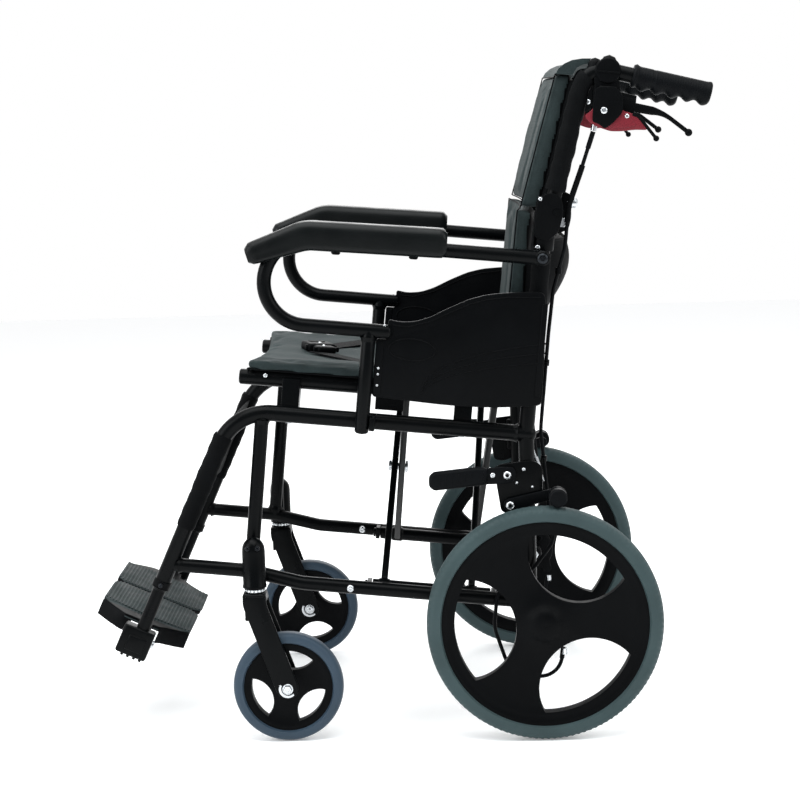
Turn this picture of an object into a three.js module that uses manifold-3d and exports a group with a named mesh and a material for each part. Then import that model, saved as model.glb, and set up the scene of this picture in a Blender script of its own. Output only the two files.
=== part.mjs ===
// A folding transit wheelchair: two welded side frames, a double cross-brace, swivel front casters,
// spoked rear wheels, fold-down back, flip-up arms and flip-up footplates.
// Millimetres. +Z is up, -Y is the front, +X is the sitter's left.
// The side frames lean back as one, so their members are laid out in a frame plane: y rearward along the
// rails and z square to them, measured from the rear axle. pitched() turns that plane to where it stands.

import * as THREE from 'three';
import Module from 'manifold-3d';

const wasm = await Module();
wasm.setup();
const { Manifold, Mesh } = wasm;

// Overall layout
const REAR_AXLE_Y = 190.2;
const REAR_AXLE_Z = 159;
const FRAME_PITCH_DEG = 6.2;
const FRAME_X = 205;
const ARM_X = 230.5;
const CASTER_X = 233;
const REAR_WHEEL_X = 255;
const GAP = 0.3;

// Tubes
const RAIL_R = 10.5;
const POST_R = 9.5;
const LEG_BORE_R = 9.3;
const FOOT_TUBE_R = 9;

// Side frame, in the frame plane
const UPPER_RAIL_Z = 246;
const LOWER_RAIL_Z = 16;
const LOWER_RAIL_FRONT_Z = 27;
const FRONT_POST_Y = -402;
const CANE_Y = -45;
const CANE_TOP_Z = 533;
const LEG_TOP = [-440.5, 246];
const LEG_END = [-524, -5];
const LEG_BEND_R = 72;
const ARM_PIVOT = [-45, 485];
const ARM_RUN = [ARM_PIVOT, [-410.5, 485, 56.9], [-410.5, 371, 56.9], [-242, 371]];
const BACK_PIVOT = [-31, 546];
const BACK_WIDTH = [-189, 189];
const CANE_RUN = [[-38.5, 549], [-9, 741, 34], [153, 718]];
const HANDLE_DROP_DEG = 8.1;
const HANDLE_START = [53, 732];

// Hand brake, in the frame plane
const LEVER_PIVOT = [24, 697];
const LEVER_TIP = [134, 664];
const LATCH_EYE = [50, 679];
const LATCH_TIP = [91, 653];
const LATCH_X = [FRAME_X + 11.4, FRAME_X + 14.4];
const CABLE_R = 2.6;
const CABLE_TOP = [8.5, 655.4];

// Cross-brace: the scissors' pivots, and where the bars stand along the rails
const BRACE_X = 184;
const BRACE_LOW_Z = 16;
const SEAT_RAIL_Z = 290;
const SEAT_RAIL_R = 10.5;
const SEAT_RAIL_Y = [-436, -88];
const BRACE_BAR_Y = [-215, -95];
const BRACE_BAR_THICK = 9;
const BRACE_BAR_WIDE = 25;
const BAR_OFFSET = 5.2;
const PIN_Z = (BRACE_LOW_Z + SEAT_RAIL_Z) / 2;
const SLEEVE_Y = [-236, -74];
const CRADLE_Y = [-366, -132];

// Footplate, in its own plane: x across, e rearward along the plate, t square to its top
const PLATE_CENTRE = [-546, -68];
const PLATE_PITCH_DEG = 18.4;
const PLATE_INNER_X = 5;
const PLATE_SHOULDER_X = 146;
const PLATE_HINGE_X = 165;
const PLATE_HINGE_T = -25;
const PLATE_HALF = 61;
const PLATE_THICK = 9;

// Casters
const CASTER_STEM_Y = -390;
const CASTER_TRAIL = 41;
const CASTER_R = 75;
const CASTER_RIM_R = 61.6;
const CASTER_WIDE = 26;
const CASTER_SPOKES_DEG = [-40, 80, 200];
const HOUSING_Z = [212, 282];
const HOUSING_R = 16;

// Rear wheels
const REAR_R = 159;
const REAR_RIM_R = 140.5;
const REAR_WIDE = 32;
const REAR_SPOKES_DEG = [-56.5, 63.5, 183.5];
const AXLE_R = 6;

// Wheel lock, in world Y and Z measured from the rear axle's Y
const LOCK_PIVOT = [-45.5, 356];
const SHOE_PIVOT = [-42.5, 315];
const SHOE_AT = [20.6, 329.7];
const SHOE_R = 12.5;

const BLACK = { color: 0x1b1d1f, roughness: 0.32, metalness: 0.55 };
const PLASTIC = { color: 0x222426, roughness: 0.5, metalness: 0.0 };
const RUBBER = { color: 0x1d1e1f, roughness: 0.75, metalness: 0.0 };
const TYRE = { color: 0x87969b, roughness: 0.8, metalness: 0.0 };
const CASTER_TYRE = { color: 0x7f8da3, roughness: 0.7, metalness: 0.0 };
const FABRIC = { color: 0x5d6a6b, roughness: 0.95, metalness: 0.0 };
const DARK_FABRIC = { color: 0x26282a, roughness: 0.95, metalness: 0.0 };
const RIBBED_GREY = { color: 0x6b7577, roughness: 0.7, metalness: 0.0 };
const STEEL = { color: 0xb9bdc0, roughness: 0.25, metalness: 1.0 };
const RED = { color: 0x9c2331, roughness: 0.4, metalness: 0.0 };

// Turns a closed three.js geometry into a Manifold solid with its faces outward.
function solid(geometry) {
  const bare = geometry.index ? geometry.toNonIndexed() : geometry;
  const position = bare.attributes.position.array;
  const keys = new Map();
  const vertices = [];
  const corners = [];
  for (let i = 0; i < position.length; i += 3) {
    const point = [position[i], position[i + 1], position[i + 2]];
    const key = point.map((value) => Math.round(value * 2000)).join();
    if (!keys.has(key)) {
      keys.set(key, vertices.length / 3);
      vertices.push(...point);
    }
    corners.push(keys.get(key));
  }
  const triangles = [];
  for (let i = 0; i < corners.length; i += 3) {
    const [a, b, c] = corners.slice(i, i + 3);
    if (a !== b && b !== c && c !== a) {
      triangles.push(a, b, c);
    }
  }
  const numProp = 3;
  const vertProperties = new Float32Array(vertices);
  const triVerts = new Uint32Array(triangles);
  const made = new Manifold(new Mesh({ numProp, vertProperties, triVerts }));
  if (made.volume() > 0) {
    return made;
  }
  return new Manifold(new Mesh({ numProp, vertProperties, triVerts: triVerts.slice().reverse() }));
}

function join(...solids) {
  return Manifold.union(solids);
}

// A path through given points that stops at each of them, so that straight runs take no extra rings.
class BentPath extends THREE.Curve {
  constructor(points) {
    super();
    this.points = points;
  }

  getUtoTmapping(u) {
    return u;
  }

  getPoint(t) {
    return this.points[Math.round(t * (this.points.length - 1))].clone();
  }

  getTangent(t) {
    const i = Math.round(t * (this.points.length - 1));
    const before = this.points[Math.max(i - 1, 0)];
    const after = this.points[Math.min(i + 1, this.points.length - 1)];
    const tangent = after.clone().sub(this.points[i]).normalize();
    tangent.add(this.points[i].clone().sub(before).normalize());
    return tangent.normalize();
  }
}

// The points of a bent tube: corners rounded to the radius given with each, [x, y, z, radius].
function bent(corners, steps) {
  const points = [];
  corners.forEach((corner, i) => {
    const at = new THREE.Vector3(corner[0], corner[1], corner[2]);
    const radius = corner[3] || 0;
    if (!radius || i === 0 || i === corners.length - 1) {
      points.push(at);
      return;
    }
    const back = new THREE.Vector3(...corners[i - 1].slice(0, 3)).sub(at).normalize();
    const on = new THREE.Vector3(...corners[i + 1].slice(0, 3)).sub(at).normalize();
    const half = back.angleTo(on) / 2;
    const reach = radius / Math.tan(half);
    const centre = back.clone().add(on).normalize().multiplyScalar(radius / Math.sin(half)).add(at);
    const from = at.clone().addScaledVector(back, reach).sub(centre);
    const axis = from.clone().cross(at.clone().addScaledVector(on, reach).sub(centre)).normalize();
    const turn = Math.PI - 2 * half;
    for (let k = 0; k <= steps; k += 1) {
      points.push(from.clone().applyAxisAngle(axis, (turn * k) / steps).add(centre));
    }
  });
  return points;
}

function tube(radius, corners, sides = 10, steps = 3) {
  const section = new THREE.Shape();
  for (let i = 0; i < sides; i += 1) {
    const angle = (2 * Math.PI * i) / sides;
    const point = [radius * Math.cos(angle), radius * Math.sin(angle)];
    if (i === 0) {
      section.moveTo(...point);
    } else {
      section.lineTo(...point);
    }
  }
  section.closePath();
  const points = bent(corners, steps);
  return solid(new THREE.ExtrudeGeometry(section, {
    steps: points.length - 1,
    extrudePath: new BentPath(points),
    curveSegments: 1,
  }));
}

// A side-view tube: corners are [y, z, radius] at one X.
function sideTube(radius, x, corners, sides, steps) {
  return tube(radius, corners.map(([y, z, bend]) => [x, y, z, bend]), sides, steps);
}

function box(x, y, z) {
  const made = new THREE.BoxGeometry(x[1] - x[0], y[1] - y[0], z[1] - z[0]);
  made.translate((x[0] + x[1]) / 2, (y[0] + y[1]) / 2, (z[0] + z[1]) / 2);
  return solid(made);
}

// A round bar along X, from x[0] to x[1].
function barX(radius, x, y, z, sides = 12) {
  const made = new THREE.CylinderGeometry(radius, radius, x[1] - x[0], sides);
  made.rotateZ(Math.PI / 2);
  made.translate((x[0] + x[1]) / 2, y, z);
  return solid(made);
}

// A round bar along Y, from y[0] to y[1].
function barY(radius, y, x, z, sides = 12) {
  const made = new THREE.CylinderGeometry(radius, radius, y[1] - y[0], sides);
  made.translate(x, (y[0] + y[1]) / 2, z);
  return solid(made);
}

// A round bar along Z, from z[0] to z[1].
function barZ(radius, z, x, y, sides = 12) {
  const made = new THREE.CylinderGeometry(radius, radius, z[1] - z[0], sides);
  made.rotateX(Math.PI / 2);
  made.translate(x, y, (z[0] + z[1]) / 2);
  return solid(made);
}

// A side-view outline of [y, z] points, given thickness from x[0] to x[1].
function plateX(points, x) {
  const shape = new THREE.Shape(points.map(([y, z]) => new THREE.Vector2(y, z)));
  const made = new THREE.ExtrudeGeometry(shape, { depth: x[1] - x[0], bevelEnabled: false });
  made.applyMatrix4(new THREE.Matrix4().set(0, 0, 1, 0, 1, 0, 0, 0, 0, 1, 0, 0, 0, 0, 0, 1));
  made.translate(x[0], 0, 0);
  return solid(made);
}

// A turned piece about the X axis: outline points are [x, radius].
function turnedX(points, sides) {
  const made = new THREE.LatheGeometry(points.map(([x, r]) => new THREE.Vector2(r, x)), sides);
  made.rotateZ(-Math.PI / 2);
  return solid(made);
}

// A turned piece about the Z axis: outline points are [radius, z].
function turnedZ(points, sides, x, y) {
  const made = new THREE.LatheGeometry(points.map(([r, z]) => new THREE.Vector2(r, z)), sides);
  made.rotateX(Math.PI / 2);
  made.translate(x, y, 0);
  return solid(made);
}

// From the frame plane to where it stands, still measured from the rear axle's Y.
function pitched(made) {
  return made.rotate([-FRAME_PITCH_DEG, 0, 0]).translate([0, 0, REAR_AXLE_Z]);
}

function unpitched(made) {
  return made.translate([0, 0, -REAR_AXLE_Z]).rotate([FRAME_PITCH_DEG, 0, 0]);
}

// From the footplate's plane (x, e, t) to the frame plane.
function onPlate(made) {
  return made.rotate([-PLATE_PITCH_DEG, 0, 0]).translate([0, PLATE_CENTRE[0], PLATE_CENTRE[1]]);
}

const chair = new THREE.Group();
chair.position.y = REAR_AXLE_Y;

function add(name, made, look) {
  const mesh = made.getMesh();
  const geometry = new THREE.BufferGeometry();
  geometry.setAttribute('position', new THREE.BufferAttribute(mesh.vertProperties, 3));
  geometry.setIndex(new THREE.BufferAttribute(mesh.triVerts, 1));
  geometry.computeVertexNormals();
  const placed = new THREE.Mesh(geometry, new THREE.MeshStandardMaterial(look));
  placed.name = name;
  chair.add(placed);
}

// Adds a left-hand piece and its mirror image on the right.
function addPair(name, made, look) {
  add(`left_${name}`, made, look);
  add(`right_${name}`, made.mirror([1, 0, 0]), look);
}

// A point at a share of the way down the leg.
function legPoint(share) {
  return [LEG_TOP[0] + (LEG_END[0] - LEG_TOP[0]) * share, LEG_TOP[1] + (LEG_END[1] - LEG_TOP[1]) * share];
}

function sideFrame() {
  const railRun = [[CANE_Y, UPPER_RAIL_Z], [...LEG_TOP, LEG_BEND_R], LEG_END];
  const railAndLeg = sideTube(RAIL_R + 0.5, FRAME_X, railRun, 10, 3);
  const post = sideTube(POST_R, FRAME_X, [[FRONT_POST_Y, UPPER_RAIL_Z], [FRONT_POST_Y, LOWER_RAIL_FRONT_Z]]);
  const lowerRail = sideTube(POST_R, FRAME_X, [
    [legPoint(0.87)[0], LOWER_RAIL_FRONT_Z],
    [-404, LOWER_RAIL_FRONT_Z, 90],
    [-332, LOWER_RAIL_Z, 90],
    [-20, LOWER_RAIL_Z],
  ], 10, 1);
  const caneRun = [[-18, 0], [CANE_Y, UPPER_RAIL_Z, 200], [CANE_Y, CANE_TOP_Z]];
  const cane = sideTube(RAIL_R, FRAME_X, caneRun, 10, 1);
  const axleBoss = barX(15, [193, 226], 0, 0, 16);
  const parts = [railAndLeg, post, lowerRail, cane, axleBoss];

  // Cradles that take the seat rail's weight when the chair is open.
  for (const y of CRADLE_Y) {
    const block = box([BRACE_X - 14, FRAME_X - 2], [y - 12, y + 12], [UPPER_RAIL_Z - 6, SEAT_RAIL_Z + 4]);
    const groove = barY(SEAT_RAIL_R + 0.6, [y - 13, y + 13], BRACE_X, SEAT_RAIL_Z, 10);
    const mouth = box(
      [BRACE_X - SEAT_RAIL_R - 0.6, BRACE_X + SEAT_RAIL_R + 0.6],
      [y - 13, y + 13],
      [SEAT_RAIL_Z, SEAT_RAIL_Z + 30],
    );
    parts.push(block.subtract(groove).subtract(mouth));
  }

  // Lugs and stub pins that the cross-brace's lower sleeve turns on.
  const lugs = [[SLEEVE_Y[0] - 7, SLEEVE_Y[0] - 1], [SLEEVE_Y[1] + 1, SLEEVE_Y[1] + 7]];
  for (const lug of lugs) {
    parts.push(box([BRACE_X - 9, FRAME_X], lug, [BRACE_LOW_Z - 9, BRACE_LOW_Z + 9]));
  }
  parts.push(barY(4, [lugs[0][0] + 1, SLEEVE_Y[0] + 22], BRACE_X, BRACE_LOW_Z));
  parts.push(barY(4, [SLEEVE_Y[1] - 22, lugs[1][1] - 1], BRACE_X, BRACE_LOW_Z));

  // The armrest's rear pivot bolt with its head, and the stop behind the armrest's post.
  parts.push(barX(4, [FRAME_X, ARM_X + 12], ...ARM_PIVOT));
  parts.push(barX(8, [ARM_X + POST_R + 0.8, ARM_X + 14], ...ARM_PIVOT));
  parts.push(box([FRAME_X, ARM_X + 8], [-256.2, -249], [UPPER_RAIL_Z - 9, UPPER_RAIL_Z + 9]));

  // The caster housing stands upright outboard of the post, on a web.
  const housing = turnedZ([
    [0, HOUSING_Z[0]],
    [HOUSING_R, HOUSING_Z[0]],
    [HOUSING_R, HOUSING_Z[1] - 13],
    [HOUSING_R * 0.85, HOUSING_Z[1] - 5],
    [HOUSING_R * 0.5, HOUSING_Z[1] - 1],
    [0, HOUSING_Z[1]],
  ], 14, CASTER_X, CASTER_STEM_Y);
  const web = box([FRAME_X, CASTER_X], [CASTER_STEM_Y - 7, CASTER_STEM_Y + 7], [222, 272]);
  const joined = join(unpitched(join(housing, web)), ...parts);

  const stemBore = unpitched(barZ(8.3, [HOUSING_Z[0] - 2, HOUSING_Z[0] + 52], CASTER_X, CASTER_STEM_Y, 14));
  const legBore = sideTube(LEG_BORE_R, FRAME_X, [legPoint(0.52), legPoint(1.02)], 12);
  return joined.subtract(stemBore).subtract(legBore).subtract(barX(AXLE_R + 0.2, [180, 230], 0, 0, 14));
}

function backHinge() {
  const collar = barZ(RAIL_R + 4, [496, 522], FRAME_X, CANE_Y, 16);
  const cheeks = box([FRAME_X - 15, FRAME_X + 15], [-60, -20], [512, 562]);
  const between = box([FRAME_X - 11.6, FRAME_X + 11.6], [-70, -10], [524, 570]);
  const caneHole = barZ(RAIL_R + 0.5, [480, 560], FRAME_X, CANE_Y, 16);
  const pinHole = barX(4.2, [FRAME_X - 20, FRAME_X + 20], ...BACK_PIVOT, 14);
  return join(collar, cheeks).subtract(between).subtract(caneHole).subtract(pinHole);
}

function backCane() {
  const run = sideTube(RAIL_R, FRAME_X, CANE_RUN, 10, 3);
  const pin = barX(4, [FRAME_X - 18.5, FRAME_X + 18.5], ...BACK_PIVOT, 14);
  const knuckle = barX(8, [FRAME_X - 11.2, FRAME_X + 11.2], ...BACK_PIVOT, 12);
  return join(run, pin, knuckle);
}

function alongHandle(made) {
  return made.rotate([-HANDLE_DROP_DEG, 0, 0]).translate([0, ...HANDLE_START]);
}

function handGrip() {
  const body = barY(14.5, [0, 104], FRAME_X, 0, 14);
  const collar = barY(16.5, [0, 7], FRAME_X, 0, 14);
  const parts = [body, collar];
  for (let i = 0; i < 5; i += 1) {
    parts.push(barX(7, [FRAME_X - 9, FRAME_X + 9], 15 + i * 20.5, -11.5, 6));
  }
  return alongHandle(join(...parts).subtract(barY(RAIL_R + 0.9, [-2, 102], FRAME_X, 0, 16)));
}

function brakeClamp() {
  const band = barX(17, [FRAME_X - 13, FRAME_X + 13], 20, 736, 14);
  const dome = turnedZ([[0, 730], [11, 730], [11, 748], [8, 754], [0, 757]], 12, FRAME_X, 19);
  const outline = [[6, 726], [36, 724], [34, 704], [26, 684], [10, 681], [6, 700]];
  const body = plateX(outline, [FRAME_X - 9, FRAME_X + 9]);
  const slot = box([FRAME_X - 4, FRAME_X + 4], [16, 60], [670, 712]);
  const adjuster = sideTube(4.5, FRAME_X, [[11, 690], [CABLE_TOP[0] + 0.1, CABLE_TOP[1] + 1.6]], 12);
  const caneHole = sideTube(RAIL_R + 0.5, FRAME_X, CANE_RUN, 10, 3);
  const pinHole = barX(3.2, [FRAME_X - 20, FRAME_X + 20], ...LEVER_PIVOT, 12);
  return join(band, dome, body, adjuster).subtract(caneHole).subtract(slot).subtract(pinHole);
}

function brakeLever() {
  const blade = [
    sideTube(3.6, FRAME_X, [LEVER_PIVOT, [60, 691, 40], [98, 686, 50], LEVER_TIP], 8, 2),
    barX(5, [FRAME_X - 3.6, FRAME_X + 3.6], ...LEVER_TIP, 10),
    barX(6.5, [FRAME_X - 3.6, FRAME_X + 3.6], ...LEVER_PIVOT, 10),
    barX(3, [FRAME_X - 11, FRAME_X + 11], ...LEVER_PIVOT, 10),
  ];
  return join(...blade);
}

function parkingLever() {
  const plate = plateX([
    [-6, 676], [4, 684], [12, 703], [34, 703], [44, 685], [54, 684], [63, 680], [70, 673], [79, 663], [62, 662],
    [44, 658.5], [30, 657.5], [12, 662], [0, 669],
  ], LATCH_X);
  const prong = sideTube(2, (LATCH_X[0] + LATCH_X[1]) / 2, [[57, 679], LATCH_TIP], 8);
  const tip = barX(4, [LATCH_X[0] - 1.4, LATCH_X[1] + 1.6], ...LATCH_TIP, 12);
  const eye = barX(3, [LATCH_X[0] - 5, LATCH_X[1] + 5], ...LATCH_EYE, 12);
  return join(plate, prong, tip).subtract(eye);
}

function armrest() {
  const loop = sideTube(POST_R, ARM_X, ARM_RUN, 8, 4);
  const post = sideTube(POST_R, ARM_X, [[-266, 371], [-266, 235]], 8);
  const eye = barX(POST_R, [ARM_X - POST_R, ARM_X + POST_R], ...ARM_PIVOT, 12);
  return join(loop, post, eye).subtract(barX(4.2, [200, 250], ...ARM_PIVOT, 12));
}

function armPad() {
  const outline = [
    [-172, 481], [-175, 513], [-192, 515], [-368, 508], [-437, 470], [-427, 447], [-392, 468], [-350, 472],
    [-200, 470],
  ];
  const body = plateX(outline, [ARM_X - 20, ARM_X + 20]);
  const loop = sideTube(POST_R + GAP, ARM_X, ARM_RUN, 8, 4);
  const under = box([ARM_X - POST_R - GAP, ARM_X + POST_R + GAP], [-372, -150], [460, 485]);
  const front = plateX([[-372, 486], [-440, 440], [-372, 440]], [ARM_X - POST_R - GAP, ARM_X + POST_R + GAP]);
  return body.subtract(join(loop, under, front));
}

function sideGuard() {
  const top = [[-225, 386], [-200, 389], [-172, 404], [-135, 424], [-100, 434], [-60, 439], [-37, 440]];
  const front = [[-255.5, 283], [-255.5, 361], [-241.5, 361], [-241.5, 388]];
  return plateX([...front, ...top, [-31, 380], [-29, 290], [-150, 279]], [ARM_X - 3.5, ARM_X + 2.5]);
}

function seatRail() {
  return barY(SEAT_RAIL_R, SEAT_RAIL_Y, BRACE_X, SEAT_RAIL_Z, 14);
}

// A brace half: its sleeve turns on the lower rail at side * BRACE_X, and its bars reach the other seat rail.
function braceHalf(side, offset) {
  const low = [side * BRACE_X, BRACE_LOW_Z];
  const high = [-side * BRACE_X, SEAT_RAIL_Z];
  const length = Math.hypot(high[0] - low[0], high[1] - low[1]);
  const tilt = (Math.atan2(high[1] - low[1], high[0] - low[0]) * 180) / Math.PI;
  const parts = [barY(9, SLEEVE_Y, low[0], low[1], 12)];
  for (const y of BRACE_BAR_Y) {
    const at = y + offset;
    const half = BRACE_BAR_THICK / 2;
    const bar = box([0, length - 3], [at - half, at + half], [-BRACE_BAR_WIDE / 2, BRACE_BAR_WIDE / 2]);
    parts.push(bar.rotate([0, -tilt, 0]).translate([low[0], 0, low[1]]));
  }
  const bore = barY(4.2, [-300, 0], low[0], low[1], 12);
  const saddle = barY(SEAT_RAIL_R + 0.5, [-300, 0], high[0], high[1], 14);
  return join(...parts).subtract(bore).subtract(saddle);
}

function leftBrace() {
  const parts = [braceHalf(1, -BAR_OFFSET)];
  for (const y of BRACE_BAR_Y) {
    parts.push(barY(5, [y - BAR_OFFSET - 8, y + BAR_OFFSET + 9], 0, PIN_Z));
    parts.push(barY(9, [y + BAR_OFFSET + 5.5, y + BAR_OFFSET + 9], 0, PIN_Z));
  }
  return join(...parts);
}

function rightBrace() {
  return braceHalf(-1, BAR_OFFSET).subtract(barY(5.2, [-300, 0], 0, PIN_Z, 12));
}

function footTube() {
  const rod = sideTube(FOOT_TUBE_R, FRAME_X, [legPoint(0.58), legPoint(1.29)], 12);
  const ears = [11, -18].map((e) => box([154, 202], [e, e + 7], [-37, -12]));
  const block = box([194, 216], [-18, 18], [-37, 6]);
  const pinHole = barY(3.7, [-30, 30], PLATE_HINGE_X, PLATE_HINGE_T);
  return join(rod, onPlate(join(...ears, block))).subtract(onPlate(pinHole));
}

function footplate() {
  const wide = box([PLATE_INNER_X, PLATE_SHOULDER_X], [-PLATE_HALF, PLATE_HALF], [-PLATE_THICK, 0]);
  const neck = box([PLATE_SHOULDER_X - 10, 176], [-10, 10], [-PLATE_THICK, 0]);
  const skirts = [[-PLATE_HALF, -19], [19, PLATE_HALF]].map((e) => (
    box([PLATE_SHOULDER_X - 8, PLATE_SHOULDER_X], e, [-26, -1])
  ));
  const lug = box([157, 173], [-10, 10], [-33, -1]);
  const pin = barY(3.5, [-20, 20], PLATE_HINGE_X, PLATE_HINGE_T);
  const chamfer = box([-20, 20], [-20, 20], [-20, 20]).rotate([0, 0, 45]);
  const corners = [-1, 1].map((end) => chamfer.translate([PLATE_INNER_X - 12, end * (PLATE_HALF + 12), 0]));
  return onPlate(join(wide, neck, ...skirts, lug, pin).subtract(join(...corners)));
}

function casterFork() {
  const axleY = CASTER_STEM_Y + CASTER_TRAIL;
  const outline = [
    [CASTER_STEM_Y - 16, 206], [CASTER_STEM_Y - 16, 192], [axleY - 15, 68], [axleY - 4, 61], [axleY + 9, 64],
    [axleY + 14, 78], [CASTER_STEM_Y + 17, 192], [CASTER_STEM_Y + 15, 206],
  ];
  const legs = plateX(outline, [CASTER_X - 19.5, CASTER_X + 19.5]);
  const channel = box([CASTER_X - 15.5, CASTER_X + 15.5], [CASTER_STEM_Y - 60, axleY + 60], [40, 196]);
  const stem = barZ(8, [200, HOUSING_Z[0] + 50], CASTER_X, CASTER_STEM_Y, 14);
  const washer = barZ(13, [205, HOUSING_Z[0] - 0.5], CASTER_X, CASTER_STEM_Y, 14);
  const axleHole = barX(4, [CASTER_X - 30, CASTER_X + 30], axleY, CASTER_R);
  return join(legs.subtract(channel).subtract(axleHole), stem, washer);
}

function casterAxle() {
  const y = CASTER_STEM_Y + CASTER_TRAIL;
  const rod = barX(3.7, [CASTER_X - 23, CASTER_X + 23], y, CASTER_R);
  const heads = [-1, 1].map((end) => {
    const inner = CASTER_X + end * 19.8;
    return barX(7.5, [Math.min(inner, inner + end * 4), Math.max(inner, inner + end * 4)], y, CASTER_R, 6);
  });
  return join(rod, ...heads);
}

// Three openings in a spoked wheel, each the overlap of the rim's inner circle and a circle nearer the hub.
function spokeOpenings(outer, radius, distance, angles, half) {
  const ring = barX(outer, [-half, half], 0, 0, 28);
  const lobes = angles.map((angle) => {
    const turn = (angle * Math.PI) / 180;
    return barX(radius, [-half, half], distance * Math.cos(turn), distance * Math.sin(turn), 14);
  });
  return ring.intersect(join(...lobes));
}

function casterRim(angles) {
  const half = CASTER_WIDE / 2;
  const body = turnedX([
    [-half, 0], [-half, 15], [-6, 20], [-8, CASTER_RIM_R - 1], [8, CASTER_RIM_R - 1], [6, 20], [half, 15],
    [half, 0],
  ], 28);
  const openings = spokeOpenings(50, 31.9, 55.9, angles, 30);
  return body.subtract(openings).subtract(barX(4, [-30, 30], 0, 0, 12))
    .translate([CASTER_X, CASTER_STEM_Y + CASTER_TRAIL, CASTER_R]);
}

function tyre(radius, rim, half, sides) {
  const wall = (radius - rim) * 0.45;
  return turnedX([
    [-half * 0.72, rim], [-half, rim + wall], [-half * 0.45, radius], [half * 0.45, radius], [half, rim + wall],
    [half * 0.72, rim], [-half * 0.72, rim],
  ], sides);
}

function rearRim(angles) {
  const body = turnedX([
    [-14, 0], [-14, 24], [-7, 34], [-10, REAR_RIM_R - 1.2], [10, REAR_RIM_R - 1.2], [7, 34], [11, 26], [18, 18],
    [21.5, 0],
  ], 40);
  const openings = spokeOpenings(122, 70, 108.8, angles, 40);
  return body.subtract(openings).subtract(barX(AXLE_R + 0.4, [-40, 8], 0, 0, 12))
    .translate([REAR_WHEEL_X, 0, REAR_AXLE_Z]);
}

function rearAxle() {
  const rod = barX(AXLE_R, [190, REAR_WHEEL_X + 6], 0, REAR_AXLE_Z, 12);
  const nut = barX(10, [184, 192.7], 0, REAR_AXLE_Z, 6);
  return join(rod, nut);
}

function hubBrake() {
  const drum = barX(34, [227, 239.5], 0, REAR_AXLE_Z, 24);
  const arm = plateX([[10, 150], [27, 150], [31, 127], [21, 122]], [227, 231]);
  return join(drum, arm).subtract(barX(AXLE_R + 0.4, [200, 250], 0, REAR_AXLE_Z, 12));
}

function lockBracket() {
  const plate = plateX([
    [LOCK_PIVOT[0] - 14, LOCK_PIVOT[1] + 13], [-10, 374], [2, 366], [2, 318],
    [SHOE_PIVOT[0] + 4, SHOE_PIVOT[1] - 13], [SHOE_PIVOT[0] - 12, SHOE_PIVOT[1] - 11],
    [LOCK_PIVOT[0] - 15, LOCK_PIVOT[1] - 10],
  ].reverse(), [216.2, 219.2]);
  const pivots = [LOCK_PIVOT, SHOE_PIVOT].map(([y, z]) => barX(4, [217, 229.5], y, z));
  const heads = [LOCK_PIVOT, SHOE_PIVOT].map(([y, z]) => barX(7, [226.8, 229.5], y, z, 12));
  return join(plate, ...pivots, ...heads);
}

function lockLever() {
  const arm = plateX([
    [LOCK_PIVOT[0] - 62, 361], [LOCK_PIVOT[0] - 8, 367], [LOCK_PIVOT[0] + 9, 366], [LOCK_PIVOT[0] + 13, 354],
    [LOCK_PIVOT[0] + 6, 345], [LOCK_PIVOT[0] - 10, 344], [LOCK_PIVOT[0] - 62, 343],
  ].reverse(), [219.8, 226.2]);
  const grip = join(
    barX(12, [215.5, 231.5], -139, 349.5, 14),
    barX(12, [215.5, 231.5], -84, 355, 14),
  ).hull();
  return join(arm, grip).subtract(barX(4.2, [200, 240], ...LOCK_PIVOT, 12));
}

function lockShoe() {
  const arm = join(
    barX(8.5, [220, 226], ...SHOE_PIVOT, 16),
    barX(7, [220, 226], ...SHOE_AT, 16),
  ).hull();
  const roller = barX(SHOE_R, [241, 268], ...SHOE_AT, 18);
  const spindle = barX(4.5, [221, 250], ...SHOE_AT, 12);
  return join(arm, roller, spindle).subtract(barX(4.2, [200, 240], ...SHOE_PIVOT, 12));
}

// Webbing that lies across the seat from beside its edge to the buckle.
function lapBelt() {
  const route = [[200.4, -232, 262], [200.4, -232, 316.4], [33, -340, 316.4]];
  const ends = route.map(([x, y, z]) => box([x - 0.9, x + 0.9], [y - 19, y + 19], [z - 0.9, z + 0.9]));
  return join(join(ends[0], ends[1]).hull(), join(ends[1], ends[2]).hull());
}

// A band between the two leg tubes, behind the sitter's calves.
function calfStrap() {
  return plateX([[-452, 204], [-490, 90], [-494, 91], [-456, 205]], [-(FRAME_X - 11.6), FRAME_X - 11.6]);
}

// The cable's route at one side, [x, y, z, bend]: from the lever's adjuster, down behind the cane, outboard
// below the wheel lock, and round in a slack loop to the hub brake's arm.
function brakeCable() {
  return tube(CABLE_R, [
    [FRAME_X, ...CABLE_TOP, 0], [FRAME_X, -3, 604, 50], [FRAME_X, -15, 556, 40], [FRAME_X - 2, -15, 500, 40],
    [FRAME_X - 14, -25, 440, 60], [FRAME_X - 18, -26, 380, 60], [FRAME_X - 18, -25, 250, 90],
    [FRAME_X - 12, -6, 150, 60], [FRAME_X + 4, 6, 105, 30], [FRAME_X + 17, -20, 66, 30],
    [FRAME_X + 17, -66, 30, 30], [FRAME_X + 17, -66, -20, 50], [FRAME_X + 17, -40, -78, 36],
    [FRAME_X + 19, 28, -86, 30], [FRAME_X + 24, 29, -38, 0],
  ], 8, 2);
}

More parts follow.
